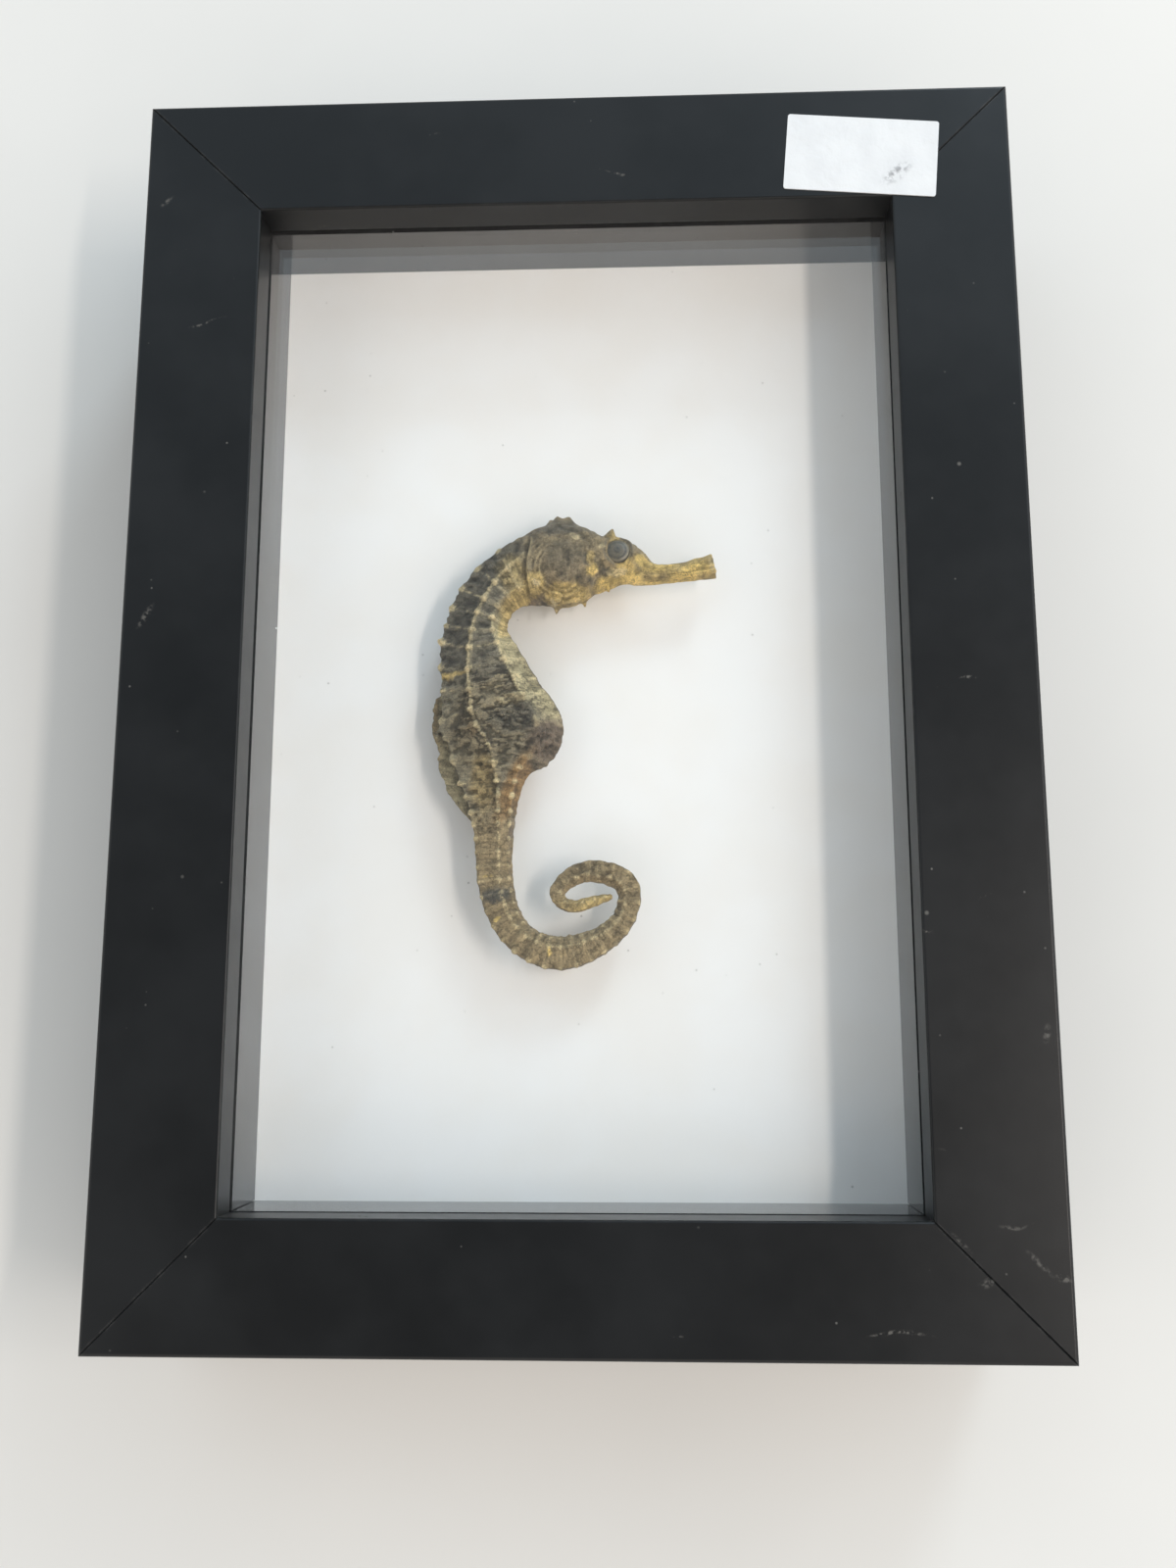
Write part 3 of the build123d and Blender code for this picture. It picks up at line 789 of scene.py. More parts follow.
def smooth_track(knots, values, at):
    """Points on the natural cubic curve through the values at their knots."""
    gaps = np.diff(knots)
    count = len(knots)
    system = np.eye(count)
    pull = np.zeros_like(values)
    for i in range(1, count - 1):
        system[i, i - 1:i + 2] = gaps[i - 1], 2 * (gaps[i - 1] + gaps[i]), gaps[i]
        pull[i] = 6 * ((values[i + 1] - values[i]) / gaps[i] - (values[i] - values[i - 1]) / gaps[i - 1])
    bend = np.linalg.solve(system, pull)
    i = np.clip(np.searchsorted(knots, at, side="right") - 1, 0, count - 2)
    gap, ahead, behind = gaps[i, None], (knots[i + 1] - at)[:, None], (at - knots[i])[:, None]
    line = values[i] * ahead / gap + values[i + 1] * behind / gap
    curve = bend[i] * (ahead**3 / gap - gap * ahead) + bend[i + 1] * (behind**3 / gap - gap * behind)
    return line + curve / 6


def spot(x, y, centre, radii, turn=0.0, soft=0.35):
    """Soft-edged elliptical patch on the side of the animal."""
    angle = math.radians(turn)
    dx, dy = x - centre[0], y - centre[1]
    along = (dx * math.cos(angle) + dy * math.sin(angle)) / radii[0]
    across = (dy * math.cos(angle) - dx * math.sin(angle)) / radii[1]
    return smoothstep(1 + soft, 1 - soft, np.hypot(along, across))


def lattice_noise(points):
    """Smooth noise between -1 and 1, from hashed values on a lattice of unit cells."""
    cell = np.floor(points).astype(np.int64)
    inside = points - cell
    ease = inside * inside * (3 - 2 * inside)
    total = np.zeros(len(points))
    for corner in np.ndindex(2, 2, 2):
        x, y, z = (cell + corner).T
        seed = (x * 374761393 + y * 668265263 + z * 1442695041) & 0xFFFFFFFF
        seed = ((seed ^ (seed >> 13)) * 1274126177) & 0xFFFFFFFF
        value = ((seed ^ (seed >> 16)) & 0xFFFF) / 32767.5 - 1
        total += value * np.prod(np.where(corner, ease, 1 - ease), axis=1)
    return total


def cell_noise(*cells):
    """Noise between -1 and 1 that differs from one whole cell to the next."""
    return lattice_noise(np.stack(cells, axis=1) * 1.7)


def cloud_noise(points, scale, octaves=1):
    """Noise in octaves, each about twice as fine and half as strong as the last."""
    total = np.zeros(len(points))
    for octave in range(octaves):
        total += 0.5**octave * lattice_noise(points * np.multiply(scale, 2.1**octave) + 31.7 * octave)
    return total


def bell(value, width):
    return np.exp(-((value / width) ** 2))


class SeahorseForm:
    """Sculpts the seahorse: a smooth body grid with its fused extras, then the relief of its skin."""

    # In millimetres, apart from the taper and the lean, which are shares
    STEP = 0.13
    TAIL_LIFT = 0.5
    RING_TAPER = 0.8
    NECK_RING = 2.7
    END_DENTS = (0.35, -0.9)
    CROWN_DISH = -0.35
    RING_LEAN = 0.35

    def __init__(self, settings):
        self.settings = settings
        steps = np.hypot(*np.diff(STATIONS[:, :2], axis=0).T)
        self.marks = np.concatenate([[0.0], np.cumsum(steps)])
        self.tail_end = self.marks[TRUNK_STATION]
        self.trunk_end = self.marks[HEAD_STATION]
        low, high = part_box("seahorse")
        self.middle = (low.z + high.z) / 2 / MM
        self.at = np.arange(0.0, self.marks[-1], self.STEP)
        self.track = smooth_track(self.marks, STATIONS, self.at)
        self.along = np.gradient(self.track[:, :2], axis=0)
        self.along /= np.linalg.norm(self.along, axis=1)[:, None]
        self.build_grid()
        self.number_rings()

    def number_rings(self):
        """Counts the body in rings, tail tip to head, with the crests at the halves."""
        count = self.settings.tail_rings
        lengths = np.linspace(self.RING_TAPER, 1.0, count)
        edges = np.concatenate([[0.0], np.cumsum(lengths) * self.tail_end / lengths.sum()])
        crests = [self.at[np.hypot(*(self.track[:, :2] - knob).T).argmin()] for knob in SIDE_KNOBS]
        rest = (self.marks[-1] - crests[-1]) / self.NECK_RING
        self.ring_marks = np.array([*edges, *crests, self.marks[-1]])
        numbers = count + 0.5 + np.arange(len(crests))
        self.ring_numbers = np.array([*range(count + 1), *numbers, numbers[-1] + rest])

    def ridge(self, table):
        knots = self.marks[table[:, 0].astype(int)]
        return np.interp(self.at, knots, table[:, 1]), np.interp(self.at, knots, table[:, 2])

    def build_grid(self):
        """Grid of points in millimetres: sections along the spine by corners round each section."""
        at = self.at
        centre, depth, thickness = self.track[:, :2], self.track[:, 2], self.track[:, 3]
        back = np.stack([-self.along[:, 1], self.along[:, 0]], axis=1)
        ridges = [self.ridge(table) for table in (BACK_RIDGE, SIDE_RIDGE, BELLY_RIDGE)]
        corners = [(ridges[0][0], 0 * at), *ridges, (-1 + 0 * at, 0 * at)]
        self.width = np.stack([
            np.hypot((a[0] - b[0]) * depth, (a[1] - b[1]) * thickness)
            for a, b in zip(corners, corners[1:])
        ], axis=1)
        roundness = smoothstep(self.marks[NECK_STATION], self.marks[CHEEK_STATION], at)
        angles = (0, *ROUND_ANGLES)
        half, facets, shares = [], [], []
        for facet, steps in enumerate(FACET_STEPS):
            for share in np.arange(steps) / steps:
                flat = [a * (1 - share) + b * share for a, b in zip(corners[facet], corners[facet + 1])]
                angle = math.radians(angles[facet] * (1 - share) + angles[facet + 1] * share)
                bow = [math.cos(angle), math.sin(angle)]
                half.append([f * (1 - roundness) + b * roundness for f, b in zip(flat, bow)])
                facets.append(facet)
                shares.append(share)
        keel = [[-1 + 0 * at, 0 * at]]
        mirror = [[n, -z] for n, z in reversed(half[1:])]
        outline = np.array(half + keel + mirror)
        self.facet = np.array(facets + [len(FACET_STEPS) - 1] + facets[:0:-1])
        self.share = np.array(shares + [1.0] + shares[:0:-1])
        lift = self.TAIL_LIFT * np.clip(1 - at / self.tail_end, 0, 1)
        deep, thick = outline[:, 0].T * depth[:, None], outline[:, 1].T * thickness[:, None]
        self.grid = np.empty((len(at), len(outline), 3))
        self.grid[:, :, :2] = centre[:, None] + deep[:, :, None] * back[:, None]
        self.grid[:, :, 2] = thick + (self.middle + lift)[:, None]

    def add_grid(self, points, dents=(0.0, 0.0)):
        """Faces of one closed tube, with its two ends drawn in or out by the dents."""
        rings, around = points.shape[:2]
        start = len(self.verts)
        self.verts.extend(points.reshape(-1, 3).tolist())
        for ring in range(rings - 1):
            low, high = start + ring * around, start + (ring + 1) * around
            for j in range(around):
                k = (j + 1) % around
                self.faces.append((low + j, low + k, high + k, high + j))
        for ring, other, dent in ((0, 1, dents[0]), (rings - 1, rings - 2, dents[1])):
            middle = points[ring].mean(0)
            outward = middle - points[other].mean(0)
            outward /= max(np.linalg.norm(outward), 1e-9)
            hub = len(self.verts)
            self.verts.append((middle + outward * dent).tolist())
            base = start + ring * around
            for j in range(around):
                k = (j + 1) % around
                self.faces.append((base + k, base + j, hub) if ring == 0 else (base + j, base + k, hub))

    def add_spine(self, foot, tip, radius, apart, sides=10, rings=8):
        """Pair of pointed spines, one each side of the middle."""
        foot, tip = np.array(foot), np.array(tip)
        along = (tip - foot) / np.linalg.norm(tip - foot)
        across = np.array([-along[1], along[0]])
        turns = np.arange(sides) * 2 * math.pi / sides
        share = np.linspace(0, 1, rings)[:, None]
        girth = radius * (1 - share) + SPINE_TIP
        for side in (1, -1):
            points = np.empty((rings, sides, 3))
            middle = foot + share * (tip - foot)
            for axis in range(2):
                points[:, :, axis] = middle[:, axis, None] + girth * np.cos(turns) * across[axis]
            points[:, :, 2] = self.middle + side * apart + girth * np.sin(turns)
            self.add_grid(points, (0.0, SPINE_TIP))

    def add_crown(self, sides=40, rings=14):
        """Low crown with blunt points round a dished top."""
        foot, top = np.array(CROWN_FOOT), np.array(CROWN_TOP)
        height = np.linalg.norm(top - foot)
        along = (top - foot) / height
        across = np.array([-along[1], along[0]])
        turns = np.arange(sides) * 2 * math.pi / sides
        lobes = 0.5 + 0.5 * np.cos(CROWN_POINTS * turns)
        points = np.empty((rings, sides, 3))
        for ring, share in enumerate(np.linspace(0, 1, rings)):
            girth = (CROWN_RADIUS - CROWN_TAPER * share) * (1 + 0.2 * share * (lobes - 0.5))
            middle = foot + along * (share * (0.9 + 0.14 * lobes) * height)[:, None]
            points[ring, :, :2] = middle + (girth * np.cos(turns))[:, None] * across
            points[ring, :, 2] = self.middle + CROWN_FLATNESS * girth * np.sin(turns)
        self.add_grid(points, (0.0, self.CROWN_DISH))

    def add_fin(self, along=150, across=16):
        """Folded dorsal fin: a thin blade with fine rays."""
        share = np.linspace(0, 1, along)
        edge = smooth_track(np.linspace(0, 1, len(FIN_EDGE)), FIN_EDGE, share)
        edge[:, 0] += 0.35 * cloud_noise(np.stack([edge[:, 1], 0 * share, 0 * share], axis=1), 0.9, 2)
        root = np.stack([np.full(along, FIN_ROOT_X), edge[:, 1]], axis=1)
        ribs = FIN_RIB * np.sin(2 * math.pi * FIN_RAYS * share)
        points = np.empty((along, 2 * across, 3))
        for j, out in enumerate(np.linspace(0, 1, across)):
            half = FIN_HALF_ROOT * (1 - out) + FIN_HALF_EDGE * out + ribs * out
            for column, sign in ((j, 1), (2 * across - 1 - j, -1)):
                points[:, column, :2] = root * (1 - out) + edge * out
                points[:, column, 2] = self.middle + sign * half
        self.add_grid(points)

    def fused_mesh(self):
        """Body, spines, crown and fin as one even mesh."""
        self.verts, self.faces = [], []
        self.add_grid(self.grid, self.END_DENTS)
        for spine in SPINES:
            self.add_spine(*spine)
        self.add_crown()
        self.add_fin()
        rough = bpy.data.meshes.new("seahorse_rough")
        rough.from_pydata((np.array(self.verts) * MM).tolist(), [], self.faces)
        shaper = bmesh.new()
        shaper.from_mesh(rough)
        bmesh.ops.recalc_face_normals(shaper, faces=shaper.faces)
        shaper.to_mesh(rough)
        shaper.free()
        holder = new_object("seahorse_rough", rough)
        remesh = holder.modifiers.new("even", "REMESH")
        remesh.mode = "VOXEL"
        remesh.voxel_size = self.settings.voxel
        relax = holder.modifiers.new("relax", "SMOOTH")
        relax.factor = 0.5
        relax.iterations = 3
        return baked_mesh(holder, "seahorse_sculpted")

    def nearest(self, points):
        """Place along the spine, facet, share and width of that facet, and distance off the body."""
        flat = self.grid.reshape(-1, 3)
        tree = kdtree.KDTree(len(flat))
        for index, point in enumerate(flat):
            tree.insert(point, index)
        tree.balance()
        found = [tree.find(point) for point in points]
        index = np.array([hit[1] for hit in found])
        gap = np.array([hit[2] for hit in found])
        section, corner = np.divmod(index, self.grid.shape[1])
        ahead = ((points - flat[index])[:, :2] * self.along[section]).sum(1)
        facet = self.facet[corner]
        return self.at[section] + ahead, facet, self.share[corner], self.width[section, facet], gap

    def lean(self, points, facet, share, width):
        """How far the rings of the upper trunk lean towards the head on their way to the back."""
        zone = smoothstep(*LEAN_START_Y, points[:, 1]) * smoothstep(*LEAN_END_Y, points[:, 1])
        back = np.where(facet == 1, 1 - share, facet == 0)
        return self.RING_LEAN * zone * back * np.where(facet == 0, 4.0, width)

    def sculpt(self):
        """Mesh of the animal with its relief, its eyes and the masks that its skin is painted by."""
        mesh = self.fused_mesh()
        points = np.empty(len(mesh.vertices) * 3, np.float32)
        normals = np.empty_like(points)
        mesh.vertices.foreach_get("co", points)
        mesh.vertex_normals.foreach_get("vector", normals)
        points = points.reshape(-1, 3).astype(float) / MM
        skin = SkinRelief(self, points)
        masks = skin.masks()
        points += normals.reshape(-1, 3) * skin.total_height()[:, None]
        mesh.vertices.foreach_set("co", (points * MM).astype(np.float32).ravel())
        for name, values in masks.items():
            layer = mesh.attributes.new(name, "FLOAT", "POINT")
            layer.data.foreach_set("value", values.astype(np.float32))
        near_eye = np.hypot(points[:, 0] - EYE[0], points[:, 1] - EYE[1]) < 0.4
        self.add_eyes(mesh, np.median(np.abs(points[near_eye, 2] - self.middle)))
        mesh.polygons.foreach_set("use_smooth", np.ones(len(mesh.polygons), bool))
        mesh.update()
        return mesh

    def add_eyes(self, mesh, height):
        """Adds the two eyes to the mesh, in its second material."""
        shaper = bmesh.new()
        shaper.from_mesh(mesh)
        iris = shaper.verts.layers.float.new("iris")
        for side in (1, -1):
            place = Matrix.Translation(Vector((*EYE, self.middle + side * (height + EYE_RISE))) * MM)
            place = place @ Matrix.Diagonal((1, 1, side, 1)) @ Matrix.Rotation(-EYE_TILT, 4, "X")
            rings = lathe(shaper, EYE_PROFILE, place)
            for ring, (radius, _) in zip(rings, EYE_PROFILE):
                for vert in ring:
                    vert[iris] = radius / EYE_RADIUS
                    for face in vert.link_faces:
                        face.material_index = 1
        eye_faces = [face for face in shaper.faces if face.material_index == 1]
        bmesh.ops.recalc_face_normals(shaper, faces=eye_faces)
        shaper.to_mesh(mesh)
        shaper.free()


class SkinRelief:
    """Heights in millimetres over the smooth form, and masks for the paint, at given points."""

    PAINT = ("olive", "belly", "plum", "tan", "slate", "ochre", "crust", "pale", "strands")

    def __init__(self, form, points):
        self.points = points
        self.x, self.y, z = points.T
        self.side = np.sign(z - form.middle)
        self.at, self.facet, self.share, self.width, self.gap = form.nearest(points)
        lean = form.lean(points, self.facet, self.share, self.width)
        marks, numbers = form.ring_marks, form.ring_numbers
        self.number = np.interp(self.at - lean, marks, numbers)
        self.length = np.interp(self.at, marks[:-1], np.diff(marks) / np.diff(numbers))
        self.on_body = smoothstep(0.55, 0.25, self.gap)
        self.tail = smoothstep(form.tail_end + 3, form.tail_end - 3, self.at)
        self.head = smoothstep(form.trunk_end - 4, form.trunk_end + 1, self.at)
        self.trunk = (1 - self.tail) * (1 - self.head)
        self.body = self.on_body * (1 - self.head)
        self.track = np.stack([self.at, self.facet + self.share, self.side], axis=1)
        self.lumps = cloud_noise(points, 0.55, 2)
        self.grit = cloud_noise(points, 1.6, 2)
        self.paint = {name: np.zeros(len(points)) for name in self.PAINT}
        self.paint_patches()
        self.add_rings(form.settings.knob_scale)
        self.add_wrinkles()
        self.add_gill_cover()
        self.add_snout()
        self.paint_tones()
        self.paint_ridges()

    def raise_mask(self, name, *shares):
        self.paint[name] = np.maximum.reduce([self.paint[name], *shares])

    def paint_patches(self):
        """Patches of each tone, with ragged edges."""
        x, y = self.x + 0.35 * self.lumps, self.y + 0.35 * self.grit
        for name, patches in PATCHES.items():
            for centre, radii, turn, amount in patches:
                self.raise_mask(name, amount * spot(x, y, centre, radii, turn))

    def add_rings(self, knob_scale):
        """Rings, ridges, the knobs where they cross and the sag of the facets between them."""
        ridge = self.facet + (self.share > 0.5)
        body, tail, trunk = self.body, self.tail, self.trunk
        self.ridge = ridge
        self.raised = (ridge > 0) * (ridge < 4)
        self.from_ridge = np.minimum(self.share, 1 - self.share) * self.width
        self.from_crest = np.abs(self.number % 1 - 0.5) * self.length
        self.vary = 1 + 0.5 * cell_noise(np.floor(self.number), ridge, self.side)
        slender = smoothstep(4, 40, self.at)
        reach = (0.50 * (1 - tail) + 0.36 * tail) * (0.8 + 0.2 * self.vary)
        uneven_crest, uneven_ridge = self.from_crest + 0.12 * self.grit, self.from_ridge + 0.10 * self.lumps
        self.from_knob = np.hypot(uneven_crest, uneven_ridge) / reach
        knob = smoothstep(1.1, 0.3, self.from_knob) * self.raised
        self.knob_height = TRUNK_KNOBS[ridge] * (1 - tail) + TAIL_KNOBS[ridge] * tail * slender
        self.knob_height *= 1 - 0.6 * smoothstep(*NAPE_Y, self.y)
        crest = bell(self.from_crest, 0.16 * self.length + 0.1)
        self.ridge_line = bell(self.from_ridge, 0.28) * self.raised
        self.height = body * (0.10 * trunk + (0.03 + 0.05 * slender) * tail) * (crest - 0.4)
        self.height += body * knob_scale * self.knob_height * knob * self.vary
        self.height += body * 0.12 * self.ridge_line * trunk
        sag = body * 0.25 * np.sin(math.pi * self.share) * (ridge > 0)
        self.sag = sag * trunk * np.clip(self.width / 6, 0.1, 1.0)

    def add_wrinkles(self):
        """Wrinkles across the body, crust that flakes off in plates, cracks, folds and crumbs."""
        points, on_body, trunk = self.points, self.on_body, self.trunk
        wrinkles = cloud_noise(self.track, (1.5, 0.7, 1.0), 2)
        flakes = cloud_noise(points * (0.8, 1.3, 1.0), 1.1, 3)
        crumple = cloud_noise(points * (0.8, 1.5, 1.0), 1.0, 3)
        self.cracks = bell(cloud_noise(points * (0.5, 1.5, 0.8), 0.9, 2), 0.09)
        self.crack_zone = spot(self.x, self.y, *CRACK_ZONE) * trunk
        fold_zone = spot(self.x, self.y, *FOLD_ZONE) * trunk
        self.height += on_body * 0.07 * wrinkles * (0.5 + 0.5 * self.tail)
        self.height += on_body * self.paint["crust"] * 0.26 * (smoothstep(-0.16, 0.16, flakes) - 0.5)
        self.height -= on_body * self.crack_zone * 0.25 * self.cracks * (self.facet < 3)
        self.height += on_body * fold_zone * 0.40 * cloud_noise(points, 1.3, 2)
        belly = (self.facet == 3) * smoothstep(*BELLY_START_Y, self.y)
        calm = 1 - 0.7 * np.maximum(belly, self.paint["tan"])
        self.height += on_body * calm * (0.16 * crumple * trunk + 0.06 * self.grit)
        crumbs = smoothstep(0.05, 0.3, cloud_noise(points, 2.3, 2)) * self.ridge_line
        self.crumbs = crumbs * (self.ridge == 2) * self.body
        self.height += 0.12 * self.crumbs * (1 - self.tail)

    def add_gill_cover(self):
        """Domed gill cover with fine arcs and a rim, and the lipped crease behind it."""
        x, y, head = self.x, self.y, self.head
        gill_x, gill_y, gill_long, gill_tall = GILL_COVER
        gill = np.hypot((x - gill_x) / gill_long, (y - gill_y) / gill_tall)
        self.dome = self.on_body * bell(gill, 0.75) * head
        low_left = smoothstep(3.0, -2.0, x - gill_x + y - gill_y)
        self.arc_zone = smoothstep(0.40, 0.65, gill) * smoothstep(1.12, 1.0, gill) * low_left * head
        self.arcs = np.sin(gill * 44 + 1.5 * self.lumps) * self.arc_zone
        rim = bell(gill - 1.06, 0.06) * smoothstep(0.5, -3.0, y - gill_y) * head
        crease_x = x - CREASE_X + 0.25 * np.sin(0.7 * (y - 17))
        crease_on = smoothstep(*CREASE_START_Y, y) * smoothstep(*CREASE_END_Y, y)
        self.lip = bell(crease_x - 0.35, 0.22) * crease_on
        crease = bell(crease_x, 0.3)
        relief = 0.06 * self.arcs - 0.16 * rim - 0.28 * crease * crease_on + 0.14 * self.lip
        self.height += self.on_body * relief

    def add_snout(self):
        """Ring round the eye, unevenness of the head, and the strands and seam of the snout."""
        self.eye = np.hypot(self.x - EYE[0], self.y - EYE[1])
        self.snout = smoothstep(*SNOUT_X, self.x) * self.head
        uneven = cloud_noise(self.points, 0.8, 3)
        strands = cloud_noise(self.track, (0.25, 2.6, 1.0), 2)
        spine_y = np.interp(self.x, STATIONS[HEAD_STATION:, 0], STATIONS[HEAD_STATION:, 1])
        seam = bell(self.y - spine_y + 0.55, 0.18) * self.snout
        self.height += self.on_body * self.head * 0.45 * bell(self.eye - 2.1, 0.5)
        self.height += self.on_body * self.head * 0.13 * uneven * (1 - 0.6 * self.snout)
        self.height += self.on_body * self.snout * (0.08 * strands - 0.10 * seam)

    def paint_tones(self):
        """Broad tones of tail, belly, back, fin, head and snout, over the patches; the fin is lightened
        with the belly tone as painted light against the trunk's shadow.
        """
        x, y, facet, paint = self.x, self.y, self.facet, self.paint
        tail, trunk, head = self.tail, self.trunk, self.head
        paint["strands"] = np.clip(0.55 * tail + 0.6 * trunk + 0.3 * head, 0, 1)
        paint["olive"] = np.clip(paint["olive"] + tail + 0.85 * head + 0.3 * paint["crust"], 0, 1)
        fin = smoothstep(0.3, 0.8, self.gap) * (x < -15) * (y < 3)
        belly_span = smoothstep(*BELLY_START_Y, y) * smoothstep(*BELLY_END_Y, y)
        # Painted light: the fin takes 0.4 of the pale belly tone, standing in for the light that the
        # trunk's shadow keeps off it.
        self.raise_mask("belly", (facet == 3) * trunk * belly_span, 0.4 * fin)
        upper_back = (facet <= 1) * trunk * smoothstep(0, 6, y)
        eye_ring = 0.7 * bell(self.eye - 2.0, 0.22) * head
        self.raise_mask("slate", 0.9 * upper_back, 0.45 * (facet == 0) * tail, eye_ring)
        self.raise_mask("tan", 0.5 * fin * smoothstep(-19.6, -20.8, x))
        gold_snout = self.snout * np.clip(0.85 + 0.6 * self.lumps - 0.4 * (y > 20.2), 0.3, 1)
        self.raise_mask("ochre", 0.42 * smoothstep(9.0, 4.0, self.at), gold_snout)
        keel_edge = smoothstep(0.88, 0.97, self.share) * (facet == 3) * trunk
        self.raise_mask("plum", 0.8 * keel_edge)
        core = smoothstep(0.25, 0.6, self.from_crest / self.length * 2)
        core = core * smoothstep(0.25, 0.7, self.from_ridge) * (facet < 3)
        self.raise_mask("slate", 0.6 * core * trunk * smoothstep(0, 4, y) * (1 - paint["ochre"]))

    def paint_ridges(self):
        """Pale rubbed knobs, ring lines, crumbs and edges."""
        x, y, ridge = self.x, self.y, self.ridge
        some_rings = cell_noise(np.floor(self.number), self.facet, 0 * self.number + 5)
        some_rings = smoothstep(0.1, 0.5, some_rings)
        lines = bell(self.from_crest, 0.13) * (0.12 + 0.30 * smoothstep(2, 6, y) + 0.4 * some_rings)
        lines = lines * smoothstep(-0.3, 0.4, self.grit)
        knobs = smoothstep(1.2, 0.7, self.from_knob) * self.raised * np.clip(self.knob_height / 0.2, 0, 1)
        knobs *= 1 - 0.65 * spot(x, y, *WORN_KNOBS) * (ridge != 2)
        side_line = 0.5 * self.ridge_line * (ridge == 2) * self.trunk * smoothstep(-8, -4, y)
        rubbed = [knobs * np.clip(self.vary, 0.5, 1), lines, 0.7 * self.crumbs, side_line]
        pale = np.maximum.reduce(rubbed) * self.body
        fin_line = bell(self.gap - 0.4, 0.12) * (x < -14) * (y < 1) * smoothstep(-0.3, 0.3, self.grit)
        arc_lines = self.arc_zone * smoothstep(0.3, 0.8, self.arcs)
        self.raise_mask("pale", pale, 0.45 * self.lip * self.head, 0.6 * fin_line, 0.22 * arc_lines)
        self.raise_mask("crust", 0.1 * self.tail + 0.3 * self.trunk)

    def masks(self):
        """Masks from 0 to 1 by name, among them the relief mask for painted shade and highlight, and the
        places along and around the body.
        """
        # Height that the painted shade and highlight follow: cracks count as low, and the tail's relief is
        # weaker.
        painted_shade_height = (self.height - 0.5 * self.crack_zone * self.cracks) * (1 - 0.35 * self.tail)
        relief = smoothstep(-0.35, 0.35, painted_shade_height)
        paint = {**self.paint, "snout": self.snout, "relief": relief}
        masks = {name: np.clip(values, 0, 1) for name, values in paint.items()}
        masks["along"] = self.at
        masks["around"] = 2.0 * (self.facet + self.share) + 10 * (self.side < 0)
        return masks

    def total_height(self):
        return self.height + 0.9 * self.dome - self.sag


def baked_mesh(holder, name):
    """Mesh of an object with its modifiers applied; the object goes."""
    graph = bpy.context.evaluated_depsgraph_get()
    mesh = bpy.data.meshes.new_from_object(holder.evaluated_get(graph))
    mesh.name = name
    raw = holder.data
    bpy.data.objects.remove(holder)
    bpy.data.meshes.remove(raw)
    return mesh


def lathe(shaper, profile, place, sides=LATHE_SIDES):
    """Closed turned form: profile of radius and height in millimetres, from one pole to the other."""
    rings = []
    for radius, height in [(r * MM, h * MM) for r, h in profile]:
        turns = [2 * math.pi * i / sides for i in range(sides if radius else 1)]
        points = [Vector((radius * math.cos(a), radius * math.sin(a), height)) for a in turns]
        rings.append([shaper.verts.new(place @ point) for point in points])
    for low, high in zip(rings, rings[1:]):
        for i in range(sides):
            k = (i + 1) % sides
            corners = [low[i % len(low)], low[k % len(low)], high[k % len(high)], high[i % len(high)]]
            face = shaper.faces.new(dict.fromkeys(corners))
            face.smooth = True
    return rings


def finished_mesh(shaper, name):
    bmesh.ops.recalc_face_normals(shaper, faces=shaper.faces)
    mesh = bpy.data.meshes.new(name)
    shaper.to_mesh(mesh)
    shaper.free()
    return mesh


def single_screw(length):
    """One pan-head screw with a cross recess, its head at the origin and its point up."""
    head = [(0, 0), (0.9, 0.03), (1.6, 0.15), (2.15, 0.38), (2.5, 0.72)]
    head += [(SCREW_HEAD, 1.15), (SCREW_HEAD, 1.5), (1.2, 1.5)]
    shank_end = length / MM - SCREW_POINT
    turns = range(int((shank_end - THREAD_START) / THREAD_PITCH))
    turn_profile = ((0.92, 0.0), (0.92, 0.25), (1.2, 0.45), (0.92, 0.65))
    thread = [(r, THREAD_START + THREAD_PITCH * i + step) for i in turns for r, step in turn_profile]
    profile = head + thread + [(1.1, shank_end), (0, length / MM)]
    shaper = bmesh.new()
    lathe(shaper, profile, Matrix.Identity(4))
    screw = new_object("screw_rough", finished_mesh(shaper, "screw_rough"))
    shaper = bmesh.new()
    for turn in (0, math.pi / 2):
        arm = bmesh.ops.create_cube(shaper, size=1.0)["verts"]
        for vert in arm:
            taper = RECESS_TAPER if vert.co.z > 0 else 1.0
            x, y, z = vert.co * Vector(RECESS)
            vert.co = Vector((taper * x, taper * y, z)) * MM
        bmesh.ops.rotate(shaper, verts=arm, cent=(0, 0, 0), matrix=Matrix.Rotation(turn, 3, "Z"))
    cutter = new_object("recess_cutter", finished_mesh(shaper, "recess_cutter"))
    recess = screw.modifiers.new("recess", "BOOLEAN")
    recess.operation = "DIFFERENCE"
    recess.object = cutter
    recess.use_self = True
    mesh = baked_mesh(screw, "screw_single")
    bpy.data.objects.remove(cutter)
    mesh.set_sharp_from_angle(angle=math.radians(35))
    return mesh


def screw_mesh():
    """The four screws of the turn buttons, each driven to its own angle."""
    low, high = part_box("turn_button_screws")
    radius = SCREW_HEAD * MM
    single = single_screw(high.z - low.z)
    shaper = bmesh.new()
    columns = (low.x + radius, high.x - radius)
    rows = (low.y + radius, high.y - radius)
    corners = [(x, y) for x in columns for y in rows]
    for (x, y), turn in zip(corners, SCREW_TURNS):
        copy = single.copy()
        copy.transform(Matrix.Translation((x, y, low.z)) @ Matrix.Rotation(turn, 4, "Z"))
        shaper.from_mesh(copy)
        bpy.data.meshes.remove(copy)
    bpy.data.meshes.remove(single)
    mesh = bpy.data.meshes.new("turn_button_screws_detailed")
    shaper.to_mesh(mesh)
    shaper.free()
    return mesh


